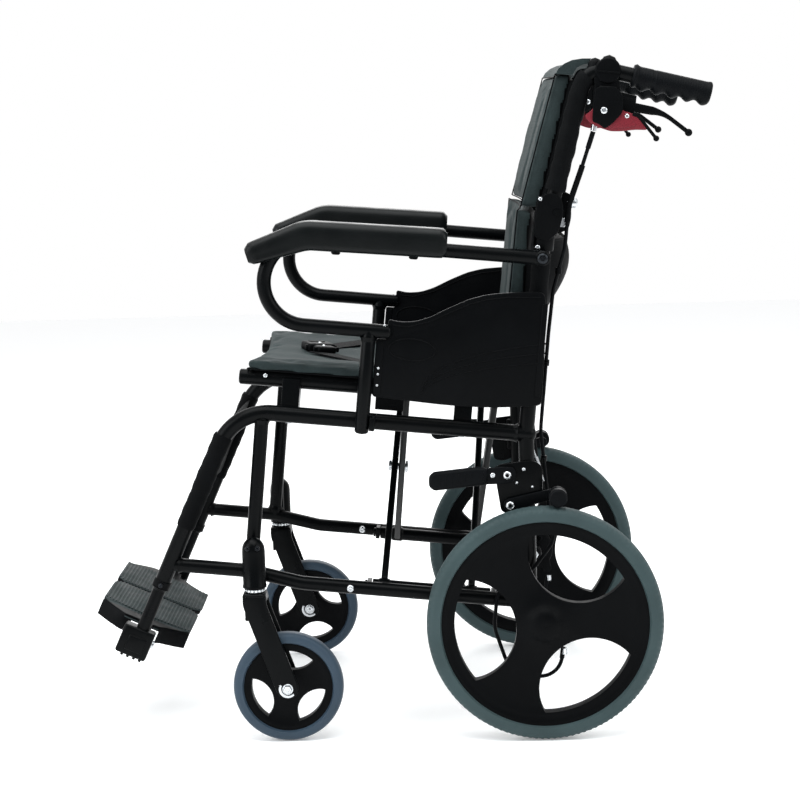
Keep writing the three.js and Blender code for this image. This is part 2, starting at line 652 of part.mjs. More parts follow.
addPair('side_frame', pitched(sideFrame()), BLACK);
addPair('back_hinge', pitched(backHinge()), PLASTIC);
addPair('back_cane', pitched(backCane()), BLACK);
addPair('hand_grip', pitched(handGrip()), RUBBER);
addPair('brake_clamp', pitched(brakeClamp()), PLASTIC);
addPair('brake_lever', pitched(brakeLever()), BLACK);
addPair('parking_lever', pitched(parkingLever()), RED);
addPair('armrest', pitched(armrest()), BLACK);
addPair('arm_pad', pitched(armPad()), RUBBER);
addPair('side_guard', pitched(sideGuard()), PLASTIC);
addPair('foot_tube', pitched(footTube()), BLACK);
addPair('footplate', pitched(footplate()), RIBBED_GREY);
addPair('caster_fork', casterFork(), BLACK);
addPair('caster_axle', casterAxle(), STEEL);
// The right-hand wheels have rolled to another angle than the left-hand ones.
add('left_caster_rim', casterRim(CASTER_SPOKES_DEG), PLASTIC);
add('right_caster_rim', casterRim(CASTER_SPOKES_DEG.map((angle) => -angle)).mirror([1, 0, 0]), PLASTIC);
const casterTyre = tyre(CASTER_R, CASTER_RIM_R, CASTER_WIDE / 2, 28);
addPair('caster_tyre', casterTyre.translate([CASTER_X, CASTER_STEM_Y + CASTER_TRAIL, CASTER_R]), CASTER_TYRE);
add('left_rear_rim', rearRim(REAR_SPOKES_DEG), PLASTIC);
add('right_rear_rim', rearRim(REAR_SPOKES_DEG.map((angle) => 180 - angle)).mirror([1, 0, 0]), PLASTIC);
const rearTyre = tyre(REAR_R, REAR_RIM_R, REAR_WIDE / 2, 40);
addPair('rear_tyre', rearTyre.translate([REAR_WHEEL_X, 0, REAR_AXLE_Z]), TYRE);
addPair('rear_axle', rearAxle(), STEEL);
addPair('hub_brake', hubBrake(), STEEL);
addPair('lock_bracket', lockBracket(), BLACK);
addPair('lock_lever', lockLever(), RUBBER);
addPair('lock_shoe', lockShoe(), RUBBER);
addPair('brake_cable', pitched(brakeCable()), RUBBER);
addPair('seat_rail', pitched(seatRail()), BLACK);
add('left_brace', pitched(leftBrace()), BLACK);
add('right_brace', pitched(rightBrace()), BLACK);

// Soft goods
add('seat_sling', pitched(box([-198, 198], [-438, -88], [SEAT_RAIL_Z + SEAT_RAIL_R + 0.6, 315])), FABRIC);
const lowerPanel = [[-82, 544], [-61.5, 544], [-61.5, 318], [-84, 318]];
const upperPanel = [[-47, 727], [-25, 727], [-52, 549], [-78, 549]];
add('back_lower', pitched(plateX(lowerPanel, BACK_WIDTH)), FABRIC);
add('back_upper', pitched(plateX(upperPanel, BACK_WIDTH)), FABRIC);
add('back_pouch', pitched(plateX([
  [-56, 398], [-56, 506], [-22, 506], [-8, 499], [-8, 440], [-22, 398],
], [-150, 150])), DARK_FABRIC);
add('calf_strap', pitched(calfStrap()), DARK_FABRIC);
addPair('lap_belt', pitched(lapBelt()), DARK_FABRIC);
add('belt_buckle', pitched(box([-31.5, 31.5], [-363, -317], [315.5, 328])), PLASTIC);

export default chair;
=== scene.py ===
# Looks for the folding transit wheelchair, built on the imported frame. Sizes are in millimetres until make().
# Members of the leaning side frames are given in the frame plane: y rearward along the rails and z square to
# them, from the rear axle; pitched() stands them up.
import math

import bmesh
import bpy
import numpy as np
from mathutils import Matrix, Vector


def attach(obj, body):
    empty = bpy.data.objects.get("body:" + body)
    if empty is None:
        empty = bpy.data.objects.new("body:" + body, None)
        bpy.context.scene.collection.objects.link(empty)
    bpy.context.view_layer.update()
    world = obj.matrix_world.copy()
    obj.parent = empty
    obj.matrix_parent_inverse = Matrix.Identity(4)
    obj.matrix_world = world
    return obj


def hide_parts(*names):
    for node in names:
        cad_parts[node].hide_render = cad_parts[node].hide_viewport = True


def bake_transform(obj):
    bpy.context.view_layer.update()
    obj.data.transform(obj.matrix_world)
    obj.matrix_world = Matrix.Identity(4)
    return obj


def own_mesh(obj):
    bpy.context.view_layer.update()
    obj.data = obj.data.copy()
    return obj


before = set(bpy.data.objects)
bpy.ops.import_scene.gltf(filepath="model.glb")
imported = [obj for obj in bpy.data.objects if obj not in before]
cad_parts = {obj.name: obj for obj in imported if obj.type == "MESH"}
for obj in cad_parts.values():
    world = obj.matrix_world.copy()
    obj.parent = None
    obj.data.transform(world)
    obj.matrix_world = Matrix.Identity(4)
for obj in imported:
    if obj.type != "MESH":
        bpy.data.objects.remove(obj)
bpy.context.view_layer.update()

AXLE_Y, AXLE_Z, PITCH = 190.2, 159.0, math.radians(6.2)
# X of the side frame, the armrest, the caster and the rear wheel on the left.
FX, AX, CX, WX = 205.0, 230.5, 233.0, 255.0
LEG_TOP, LEG_END = (-440.5, 246.0), (-524.0, -5.0)
ARM_PIVOT, BACK_PIVOT = (-45.0, 485.0), (-31.0, 546.0)
PLATE_AT, PLATE_PITCH = (-546.0, -68.0), math.radians(18.4)
STEM_Y, CASTER_AT = -390.0, (CX, -349.0, 75.0)
LOCK_PIVOT, SHOE_PIVOT, SHOE_AT = (-45.5, 356.0), (-42.5, 315.0), (20.6, 329.7)
BRACE_X, BRACE_LOW, SEAT_Z, BRACE_BARS, FOLD_ANGLE = 184.0, 16.0, 290.0, (-215, -95), math.radians(32)
SEAT_HOOKS = (-366, -132)
CANE = [(-38.5, 549), (-9, 741, 34), (153, 718)]
# The footplate's hinge, in the plate's own frame, and how far the plate reaches forward and back of it.
PLATE_HINGE, NOSE, HALF = (165, 0, -25), 70.0, 61.0
# How far the seat and the back hang between their edges, and where that begins.
SLACK, SEAT_HALF, BACK_HALF = 9.0, 192.0, 186.0


# ---------------------------------------------------------------- materials
def material(name, color, rough, metal=0.0, sheen=0.0, spec=0.5):
    m = bpy.data.materials.new(name)
    m.use_nodes = True
    b = m.node_tree.nodes["Principled BSDF"]
    for socket, value in (("Base Color", (*color, 1)), ("Roughness", rough), ("Metallic", metal),
                          ("Sheen Weight", sheen), ("Sheen Roughness", 0.4), ("Specular IOR Level", spec)):
        b.inputs[socket].default_value = value
    return m


class Nodes:
    """Short calls for building a material's node tree around its Principled shader."""

    def __init__(self, m):
        self.t = m.node_tree
        self.b = self.t.nodes["Principled BSDF"]
        self.at = self.t.nodes.new("ShaderNodeTexCoord").outputs["Object"]

    def new(self, kind, **values):
        n = self.t.nodes.new(kind)
        for k, v in values.items():
            if k in n.inputs:
                n.inputs[k].default_value = v
            else:
                setattr(n, k, v)
        return n

    def link(self, a, b):
        self.t.links.new(a, b)

    def noise(self, scale, detail):
        n = self.new("ShaderNodeTexNoise", Scale=scale, Detail=detail)
        self.link(self.at, n.inputs["Vector"])
        return n.outputs["Fac"]

    def ramp(self, fac, stops):
        r = self.new("ShaderNodeValToRGB")
        while len(r.color_ramp.elements) < len(stops):
            r.color_ramp.elements.new(0.5)
        for e, (p, c) in zip(r.color_ramp.elements, stops):
            e.position, e.color = p, (*c, 1)
        self.link(fac, r.inputs["Fac"])
        return r.outputs["Color"]

    def math(self, op, a, b):
        n = self.new("ShaderNodeMath", operation=op)
        for i, v in enumerate((a, b)):
            if isinstance(v, float):
                n.inputs[i].default_value = v
            else:
                self.link(v, n.inputs[i])
        return n.outputs[0]

    def bump(self, height, strength, distance):
        n = self.new("ShaderNodeBump", Strength=strength, Distance=distance)
        self.link(height, n.inputs["Height"])
        last = self.b.inputs["Normal"].links
        if last:
            self.link(last[0].from_socket, n.inputs["Normal"])
        self.link(n.outputs["Normal"], self.b.inputs["Normal"])

    def wave(self, scale, direction):
        n = self.new("ShaderNodeTexWave", Scale=scale, bands_direction=direction)
        self.link(self.at, n.inputs["Vector"])
        return n.outputs["Fac"]


def spread(color, by):
    return [tuple(max(0.0, c * (1 - by)) for c in color), tuple(c * (1 + by) for c in color)]


def plain(name, color, rough, metal=0.0, grain=900, bump=0.05, vary=0.12, spec=0.5):
    """Painted, moulded or plated: slow colour drift, uneven gloss and a fine surface grain."""
    m = material(name, color, rough, metal, spec=spec)
    n = Nodes(m)
    low, high = spread(color, vary)
    n.link(n.ramp(n.noise(14, 4), [(0.35, low), (0.65, high)]), n.b.inputs["Base Color"])
    r = n.ramp(n.noise(35, 5), [(0.3, (rough * 0.85,) * 3), (0.7, (rough * 1.2,) * 3)])
    n.link(r, n.b.inputs["Roughness"])
    n.bump(n.noise(grain, 2), bump, 0.0004)
    return m


def woven(name, color, rough, sheen, thread=900.0, strength=0.35, crease=0.25, spec=0.05):
    """Plain-weave nylon: crossed threads, soft creases and a slight mottling."""
    m = material(name, color, rough, sheen=sheen, spec=spec)
    n = Nodes(m)
    low, high = spread(color, 0.18)
    mottled = n.math("ADD", n.math("MULTIPLY", n.noise(22, 5), 0.7), n.math("MULTIPLY", n.noise(420, 2), 0.3))
    n.link(n.ramp(mottled, [(0.35, low), (0.65, high)]), n.b.inputs["Base Color"])
    wx, wy, wz = (n.wave(thread / 6.283, d) for d in "XYZ")
    n.bump(n.math("ADD", n.math("MULTIPLY", wx, wy), wz), strength, 0.0003)
    n.bump(n.noise(16, 4), crease, 0.004)
    return m


M = {
    "frame_black": plain("powder_coat", (0.0014, 0.0018, 0.0021), 0.3, grain=700, bump=0.08, spec=0.07),
    "black_plastic": plain("moulded_black", (0.0016, 0.0019, 0.0023), 0.44, grain=1500, bump=0.14, spec=0.05),
    "guard_plastic": plain("guard_black", (0.0017, 0.002, 0.0024), 0.4, grain=1100, bump=0.2, spec=0.05),
    "black_rubber": plain("black_rubber", (0.0022, 0.0027, 0.0034), 0.5, grain=1300, bump=0.2, spec=0.06),
    "pad_skin": plain("pad_skin", (0.0022, 0.003, 0.0032), 0.36, grain=1000, bump=0.2, spec=0.14),
    "rear_tyre": plain("tyre_grey_teal", (0.034, 0.055, 0.058), 0.62, grain=500, bump=0.15, vary=0.1,
                       spec=0.2),
    "caster_tyre": plain("tyre_blue_grey", (0.027, 0.046, 0.068), 0.5, grain=500, bump=0.1, vary=0.08,
                         spec=0.25),
    "seat_fabric": woven("seat_nylon", (0.019, 0.028, 0.029), 0.75, 0.03, crease=0.3, spec=0.12),
    "dark_fabric": woven("black_nylon", (0.0018, 0.0021, 0.0025), 0.7, 0.01),
    "webbing": woven("webbing", (0.002, 0.0023, 0.0027), 0.7, 0.01, thread=1500, strength=0.5, crease=0.05),
    "ribbed_grey": plain("ribbed_grey", (0.022, 0.030, 0.031), 0.6, grain=900, bump=0.15, spec=0.1),
    "steel": plain("bright_zinc", (0.58, 0.6, 0.62), 0.25, 1.0, grain=600, bump=0.04, vary=0.05),
    "dark_steel": plain("blackened_steel", (0.02, 0.022, 0.025), 0.3, 1.0, grain=600, bump=0.05),
    "red_plastic": plain("crimson", (0.15, 0.014, 0.022), 0.36, grain=900, bump=0.08, vary=0.08, spec=0.2),
}


# ---------------------------------------------------------------- shapes
class Shape:
    """Vertices in millimetres and faces; + joins two, and the moves return new shapes."""

    def __init__(self, v, f):
        self.v = np.asarray(v, float).reshape(-1, 3)
        self.f = [tuple(x) for x in f]

    def __add__(self, other):
        n = len(self.v)
        return Shape(np.vstack([self.v, other.v]), self.f + [tuple(i + n for i in x) for x in other.f])

    def move(self, x, y, z):
        return Shape(self.v + np.array([x, y, z]), self.f)

    def turn(self, axis, angle, centre=(0, 0, 0)):
        r = np.array(Matrix.Rotation(angle, 3, axis))
        c = np.array(centre, float)
        return Shape((self.v - c) @ r.T + c, self.f)

    def mirror(self):
        return Shape(self.v * np.array([-1, 1, 1]), [tuple(reversed(x)) for x in self.f])


def pitched(s):
    return s.turn("X", -PITCH).move(0, 0, AXLE_Z)


def on_plate(s):
    return s.turn("X", -PLATE_PITCH).move(0, *PLATE_AT)


def bent(corners, steps=8):
    """A route of (x, y, z) or (x, y, z, bend radius) corners, as points with each bend drawn as an arc."""
    pts = []
    for i, c in enumerate(corners):
        at, r = Vector(c[:3]), (c[3] if len(c) > 3 else 0)
        if not r or i in (0, len(corners) - 1):
            pts.append(at)
            continue
        back = (Vector(corners[i - 1][:3]) - at).normalized()
        on = (Vector(corners[i + 1][:3]) - at).normalized()
        half = back.angle(on) / 2
        if half > 1.565:
            pts.append(at)
            continue
        centre = at + (back + on).normalized() * (r / math.sin(half))
        start = at + back * (r / math.tan(half)) - centre
        axis = start.cross(at + on * (r / math.tan(half)) - centre).normalized()
        for k in range(steps + 1):
            pts.append(Matrix.Rotation((math.pi - 2 * half) * k / steps, 3, axis) @ start + centre)
    return pts


def rings(loops, wrap=False):
    """A skin over equal loops of points, closed at both ends, or joined round to the first loop."""
    n = len(loops[0])
    v = [p for loop in loops for p in loop]
    f = []
    for i in range(len(loops) - (0 if wrap else 1)):
        a, b = i * n, ((i + 1) % len(loops)) * n
        f += [(a + j, a + (j + 1) % n, b + (j + 1) % n, b + j) for j in range(n)]
    if not wrap:
        f.append(tuple(reversed(range(n))))
        f.append(tuple(range((len(loops) - 1) * n, len(loops) * n)))
    return Shape(v, f)


def frames(pts):
    """Tangent, normal and binormal at each point, carried along without twist."""
    t = []
    for i, p in enumerate(pts):
        a = pts[max(i - 1, 0)]
        b = pts[min(i + 1, len(pts) - 1)]
        d = (b - p).normalized() + (p - a).normalized()
        t.append(d.normalized())
    n = t[0].orthogonal().normalized()
    out = []
    for i, d in enumerate(t):
        n = (n - d * n.dot(d)).normalized()
        out.append((d, n, d.cross(n)))
    return out


def angles(n):
    return [2 * math.pi * k / n for k in range(n)]


def ring(p, a, b, r, sides):
    """A circle of points round p, in the plane of a and b."""
    return [p + a * r * math.cos(t) + b * r * math.sin(t) for t in angles(sides)]


def tube(radius, corners, sides=20, steps=8, dome=0.0):
    """A round tube; dome rounds its ends by that share of the radius."""
    pts = bent(corners, steps)
    fr = frames(pts)
    radii = [radius] * len(pts)
    for end in (0, -1) if dome else ():
        p, d = pts[end], fr[end][0] * (-1 if end == 0 else 1)
        for a in (0.5, 0.95, 1.3):
            at = end if end == 0 else len(pts)
            pts.insert(at, p + d * radius * dome * math.sin(a))
            fr.insert(at, fr[end])
            radii.insert(at, radius * math.cos(a))
    return rings([ring(p, a, b, r, sides) for p, (_, a, b), r in zip(pts, fr, radii)])


def side_tube(radius, x, corners, **kw):
    return tube(radius, [(x, *c) for c in corners], **kw)


def fine(corners, step=6.0):
    """A bent route with its straight runs divided into steps of about step millimetres."""
    pts = bent(corners, 10)
    out = []
    for a, b in zip(pts, pts[1:]):
        n = max(1, round((b - a).length / step))
        out += [a.lerp(b, k / n) for k in range(n)]
    return out + [pts[-1]]


def swept(radius, pts, sides=12):
    """A round skin along points that are used as they are."""
    return rings([ring(p, a, b, radius, sides) for p, (_, a, b) in zip(pts, frames(pts))])


def piping(corners, r):
    return swept(r, fine(corners, 8.0), 8)


def lathe(profile, axis="X", sides=48):
    """profile is [(place along the axis, radius)]."""
    loops = []
    for a, r in profile:
        turned = [(max(r, 1e-3) * math.cos(t), max(r, 1e-3) * math.sin(t)) for t in angles(sides)]
        loops.append([{"X": (a, c, s), "Y": (s, a, c), "Z": (c, s, a)}[axis] for c, s in turned])
    return rings(loops)


def rod(low, high, r, axis="X", sides=20):
    return lathe([(low, 0), (low, r), (high, r), (high, 0)], axis, sides)


def ball(r, steps, axis, sides):
    arc = [math.pi - k * math.pi / steps for k in range(steps + 1)]
    return lathe([(r * math.cos(a), r * math.sin(a)) for a in arc], axis, sides)


def both_ends(half):
    """A turned profile that is the same at both ends, from its first half."""
    return half + [(-a, r) for a, r in reversed(half)]


def rounded(points, radius, steps=5):
    """A closed outline with its corners rounded; radius is one number or one for each corner."""
    n = len(points)
    out = []
    for i in range(n):
        p = Vector(points[i])
        a, b = Vector(points[i - 1]), Vector(points[(i + 1) % n])
        r = radius[i] if isinstance(radius, (list, tuple)) else radius
        da, db = (a - p), (b - p)
        cut = min(r, da.length * 0.45, db.length * 0.45)
        if cut < 0.05:
            out.append(tuple(p))
            continue
        p0, p2 = p + da.normalized() * cut, p + db.normalized() * cut
        for k in range(steps + 1):
            t = k / steps
            out.append(tuple(p0 * (1 - t) ** 2 + p * 2 * t * (1 - t) + p2 * t * t))
    return out


def offset(points, d):
    """An outline moved in by d."""
    p = np.array(points, float)
    a, b = np.roll(p, 1, 0), np.roll(p, -1, 0)
    e = b - a
    n = np.stack([-e[:, 1], e[:, 0]], 1)
    n /= np.maximum(np.linalg.norm(n, axis=1, keepdims=True), 1e-9)
    area = np.sum(p[:, 0] * np.roll(p[:, 1], -1) - np.roll(p[:, 0], -1) * p[:, 1])
    return p + n * d * (1 if area > 0 else -1)


def plate(points, low, high, edge=1.0, axis="X", bevels=3):
    """A flat piece with rounded edges: points is its outline in the plane square to axis."""
    loops = [(low + edge * (1 - math.cos(math.pi / 2 * k / bevels)),
              offset(points, edge * (1 - math.sin(math.pi / 2 * k / bevels)))) for k in range(bevels + 1)]
    loops += [(high - (h - low), o) for h, o in reversed(loops)]
    out = []
    for h, o in loops:
        out.append([{"X": (h, p[0], p[1]), "Y": (p[0], h, p[1]), "Z": (p[0], p[1], h)}[axis] for p in o])
    return rings(out)


def box(x, y, z, edge=1.0):
    edge = min(edge, (x[1] - x[0]) * 0.45, (y[1] - y[0]) * 0.45, (z[1] - z[0]) * 0.45)
    outline = rounded([(x[0], y[0]), (x[1], y[0]), (x[1], y[1]), (x[0], y[1])], edge * 1.5, 3)
    return plate(outline, z[0], z[1], edge, "Z")


def squared(x, power):
    """x, a sine or cosine, pushed out towards 1 or -1, which squares a circle off."""
    return math.copysign(abs(x) ** power, x)


def bolt(x0, x1, y, z, r):
    """A domed screw head with a socket, along X, that stands from x0 to x1."""
    h = abs(x1 - x0)
    s = lathe([(0, 0), (0, r), (h * 0.35, r), (h * 0.75, r * 0.82), (h, r * 0.5), (h, r * 0.42),
               (h * 0.45, r * 0.36), (h * 0.45, 0)], "X", 28)
    return (s if x1 > x0 else s.mirror()).move(x0, y, z)


# ---------------------------------------------------------------- objects
def shade(mesh, sharp, weld=False):
    """Smooth shading, with the edges that turn by more than sharp degrees left crisp."""
    bm = bmesh.new()
    bm.from_mesh(mesh)
    if weld:
        bmesh.ops.remove_doubles(bm, verts=bm.verts, dist=1e-6)
        bmesh.ops.recalc_face_normals(bm, faces=bm.faces)
    for e in bm.edges:
        e.smooth = not (len(e.link_faces) == 2 and e.calc_face_angle(0) > math.radians(sharp))
    for face in bm.faces:
        face.smooth = True
    bm.to_mesh(mesh)
    bm.free()


def bake(o):
    """Applies every modifier on a piece."""
    bpy.context.view_layer.update()
    done = bpy.data.meshes.new_from_object(o.evaluated_get(bpy.context.evaluated_depsgraph_get()))
    o.modifiers.clear()
    o.data = done


def add(name, data):
    o = bpy.data.objects.new(name, data)
    bpy.context.scene.collection.objects.link(o)
    return o


def make(name, shape, look, body=None, stands_for=(), origin=(0, 0, 0), sharp=38):
    """Turns a shape, in millimetres from the rear axle's Y, into an object in the row frame."""
    origin = np.array(origin, float) / 1000
    mesh = bpy.data.meshes.new(name)
    v = shape.v / 1000 + np.array([0, AXLE_Y / 1000, 0]) - origin
    mesh.from_pydata([tuple(p) for p in v], [], shape.f)
    shade(mesh, sharp, weld=True)
    o = add(name, mesh)
    o.location = origin
    mesh.materials.append(M[look])
    if stands_for:
        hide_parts(*stands_for)
    if body:
        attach(o, body)
    return o


def pair(name, shape, look, body=None, node=None, origin=(0, 0, 0), sharp=38):
    """The left piece and its mirror image; body and node are without left_ or right_."""
    made = []
    for side, s, sign in (("left", shape, 1), ("right", shape.mirror(), -1)):
        nodes = [f"{side}_{node}"] if node else []
        at = (origin[0] * sign, origin[1], origin[2])
        made.append(make(f"{side}_{name}", s, look, body and f"{side}_{body}", nodes, at, sharp))
    return made


def crossed(name, shape, look, node=None):
    """A piece on the left seat rail and its mirror image: each brace carries the far side's rail."""
    for side, other, s in (("left", "right", shape), ("right", "left", shape.mirror())):
        make(f"{side}_{name}", s, look, f"{other}_brace", [f"{side}_{node}"] if node else [])


def at_row(x, y, z):
    return (x, y + AXLE_Y, z)


def row(x, y, z):
    """A frame-plane place, in the row frame in metres."""
    return tuple(np.array(at_row(*pitched(Shape([(x, y, z)], [])).v[0])) / 1000)


def leg(share):
    """A place on the leg tube, from 0 at its top to 1 at its end."""
    return (LEG_TOP[0] + (LEG_END[0] - LEG_TOP[0]) * share, LEG_TOP[1] + (LEG_END[1] - LEG_TOP[1]) * share)


# ---------------------------------------------------------------- camera, floor and light
def look_from(place, yaw, pitch, roll, lens):
    """The photo's camera: place in metres, angles in degrees and the lens in millimetres."""
    yaw, pitch, roll = (math.radians(a) for a in (yaw, pitch, roll))
    fwd = Vector((-math.cos(yaw) * math.cos(pitch), math.sin(yaw) * math.cos(pitch), -math.sin(pitch)))
    right = fwd.cross(Vector((0, 0, 1))).normalized()
    up = right.cross(fwd)
    r = right * math.cos(roll) + up * math.sin(roll)
    u = up * math.cos(roll) - right * math.sin(roll)
    data = bpy.data.cameras.new("camera")
    data.lens = lens
    data.sensor_width = 36
    cam = add("camera", data)
    cam.matrix_world = Matrix(((r.x, u.x, -fwd.x, place[0]), (r.y, u.y, -fwd.y, place[1]),
                               (r.z, u.z, -fwd.z, place[2]), (0, 0, 0, 1)))
    bpy.context.scene.camera = cam


look_from((3.0572, (AXLE_Y - 113.4) / 1000, 0.846), -1.474, 7.731, -1.740, 96.2)


def area_light(name, place, aim_z, size, power, color=(1, 1, 1)):
    data = bpy.data.lights.new(name, "AREA")
    data.shape = "RECTANGLE"
    data.size, data.size_y = size
    data.energy, data.color = power, color
    o = add(name, data)
    o.location = place
    o.rotation_euler = (Vector((0, 0, aim_z)) - Vector(place)).to_track_quat("-Z", "Y").to_euler()


area_light("top_light", (0.6, -0.2, 2.6), 0.4, (2.6, 2.2), 75, (0.97, 1, 1))
area_light("front_light", (1.4, -2.4, 1.5), 0.5, (1.8, 1.8), 42, (0.96, 0.99, 1))
area_light("back_light", (1.2, 2.4, 1.8), 0.5, (1.8, 1.8), 30, (0.96, 1, 1))
area_light("far_light", (-2.4, 0.2, 1.8), 0.5, (1.8, 1.8), 30)


def studio():
    """A white world that darkens towards +X, the camera's side."""
    world = bpy.data.worlds.new("studio")
    world.use_nodes = True
    sky = world.node_tree
    split, tone = sky.nodes.new("ShaderNodeSeparateXYZ"), sky.nodes.new("ShaderNodeValToRGB")
    for stop, at, color in zip(tone.color_ramp.elements, (0.42, 0.85), ((1, 1, 1, 1), (0.3, 0.31, 0.32, 1))):
        stop.position, stop.color = at, color
    halve = sky.nodes.new("ShaderNodeMapRange")
    halve.inputs["From Min"].default_value = -1
    sky.links.new(sky.nodes.new("ShaderNodeTexCoord").outputs["Generated"], split.inputs[0])
    sky.links.new(split.outputs["X"], halve.inputs["Value"])
    sky.links.new(halve.outputs["Result"], tone.inputs["Fac"])
    sky.links.new(tone.outputs["Color"], sky.nodes["Background"].inputs["Color"])
    sky.nodes["Background"].inputs["Strength"].default_value = 1.0
    bpy.context.scene.world = world
    bpy.context.scene.view_settings.view_transform = "Standard"


def floor(half=6, z=-0.0005):
    mesh = bpy.data.meshes.new("floor")
    corners = [(-half, -half, z), (half, -half, z), (half, half, z), (-half, half, z)]
    mesh.from_pydata(corners, [], [(0, 1, 2, 3)])
    look = material("floor", (0.93, 0.935, 0.94), 0.9)
    shader = look.node_tree.nodes["Principled BSDF"]
    shader.inputs["Emission Color"].default_value = (1, 1, 1, 1)
    shader.inputs["Emission Strength"].default_value = 0.2
    mesh.materials.append(look)
    add("floor", mesh)


studio()
floor()


# ---------------------------------------------------------------- side frames
def flare(at, direction, r, reach=6.0, grow=2.4):
    """The weld where a tube of radius r meets another, as a low collar that swells towards the joint."""
    d = Vector(direction)
    n = d.orthogonal().normalized()
    swell = ((0, grow), (0.35, grow * 0.55), (0.7, grow * 0.2), (1, 0.05))
    return rings([ring(Vector(at) + d * reach * share, n, d.cross(n), r + more, 24) for share, more in swell])


def side_frame():
    s = side_tube(11, FX, [(-40, 246), (*LEG_TOP, 72), LEG_END], sides=28, steps=14, dome=0.8)
    s += side_tube(9.5, FX, [(-402, 246), (-402, 27)], sides=24)
    low_rail = [(leg(0.87)[0], 27), (-404, 27, 90), (-332, 16, 90), (-20, 16)]
    s += side_tube(9.5, FX, low_rail, sides=24, steps=5)
    s += side_tube(10.5, FX, [(-18, -4), (-45, 246, 200), (-45, 533)], sides=28, steps=5)
    s += flare((FX, -402, 236), (0, 0, -1), 9.5) + flare((FX, -402, 36), (0, 0, 1), 9.5)
    s += flare((FX, leg(0.87)[0] + 12, 27), (0, 1, 0), 9.5) + flare((FX, -30, 16), (0, -1, 0), 9.5)
    s += flare((FX, -57, 246), (0, -1, 0), 11)
    cradle = rounded([(BRACE_X - 14, 240), (FX - 1, 240), (FX - 1, 250), (FX - 4, 294), (BRACE_X + 11.1, 294),
                      (BRACE_X + 11.1, 286), (BRACE_X + 7.5, 281.5), (BRACE_X, 278.9), (BRACE_X - 7.5, 281.5),
                      (BRACE_X - 11.1, 286), (BRACE_X - 11.1, 294), (BRACE_X - 14, 294)], 1.2, 2)
    for y in SEAT_HOOKS:
        s += plate(cradle, y - 12, y + 12, 0.9, "Y")
    lug = rounded([(BRACE_X - 9, 7), (FX - 2, 7), (FX - 2, 25), (BRACE_X - 9, 25)], 5)
    s += plate(lug, -243, -237, 0.8, "Y") + plate(lug, -73, -67, 0.8, "Y")
    for nut in ([(-248, 0), (-248, 3), (-246, 7), (-243.4, 7), (-243.4, 0)],
                [(-66.6, 0), (-66.6, 7), (-64, 7), (-62, 3), (-62, 0)]):
        s += lathe(nut, "Y", 24).move(BRACE_X, 0, BRACE_LOW)
    s += lathe([(FX, 4), (AX + 10, 4)], "X", 20).move(0, *ARM_PIVOT)
    s += box((FX, AX + 8), (-256.2, -249), (237, 255), 1.2)
    s += lathe([(193, 0), (193, 12), (194.5, 14.2), (196, 15), (224, 15), (226, 13.6), (226, 6.3)], "X", 40)
    upright = lathe([(212, 8.4), (212, 15), (213, 16.2), (216, 16.2), (217, 15.6), (262, 15.6), (269, 14.8),
                     (274, 12.6), (278.5, 8.6), (281, 4), (281.6, 0)], "Z", 48).move(CX, STEM_Y, 0)
    upright += box((FX, CX), (STEM_Y - 7, STEM_Y + 7), (222, 272), 2)
    return pitched(s) + upright


pair("side_frame_look", side_frame(), "frame_black", "frame", "side_frame")


screws = bolt(FX + 8.6, FX + 12.5, -265, 15.9, 5.2) + bolt(FX - 8.6, FX - 12.5, -265, 15.9, 5.2)
for y in SEAT_HOOKS:
    screw = lathe([(0, 0), (0, 4.6), (2.2, 4.6), (3.6, 3), (3.6, 0)], "Z", 20)
    screws += screw.turn("X", math.pi).move(FX - 6, y, 236.5)
pair("frame_screws", pitched(screws), "steel", "frame")
rivet = bolt(0, 3.4, 0, 0, 3.6).turn("Y", -0.35).move(CX + 12.6, STEM_Y, 268)
pair("fork_rivets", rivet.move(0, -6.5, 0) + rivet.move(0, 6.5, 0), "dark_steel", "frame")
pair("arm_pivot_bolt", pitched(bolt(AX + 10.4, AX + 13.4, *ARM_PIVOT, 7.0)), "dark_steel", "frame")


# ---------------------------------------------------------------- back: hinge, canes, grips
def back_hinge():
    collar = lathe([(494, 11.2), (494, 14.4), (495, 15), (521, 15), (522.5, 14), (522.5, 11.2)], "Z", 40)
    s = collar.move(FX, -45, 0)
    cheek = rounded([(-58, 510), (-40, 506), (-26, 520), (-21.5, 546), (-27, 568), (-44, 572), (-58, 560)], 7)
    for x in (FX - 15, FX + 11.8):
        s += plate(cheek, x, x + 3.2, 1.0)
    return pitched(s + box((FX - 14, FX + 14), (-59.4, -57.2), (500, 545), 0.8))


pair("back_hinge_look", back_hinge(), "black_plastic", "frame", "back_hinge")
hinge_bolts = bolt(FX + 14.8, FX + 16.8, -54, 562, 2.8) + bolt(FX - 14.8, FX - 19, -45, 514, 4.2)
hinge_bolts += bolt(FX + 14.8, FX + 15.8, -52, 498, 3.0)
pair("hinge_bolts", pitched(hinge_bolts), "steel", "frame")


def back_cane():
    s = side_tube(10.5, FX, CANE, sides=28, steps=14)
    hub = rod(-18.6, 18.6, 4) + rod(-11.2, 11.2, 8.4, sides=32)
    return pitched(s + hub.move(FX, *BACK_PIVOT))


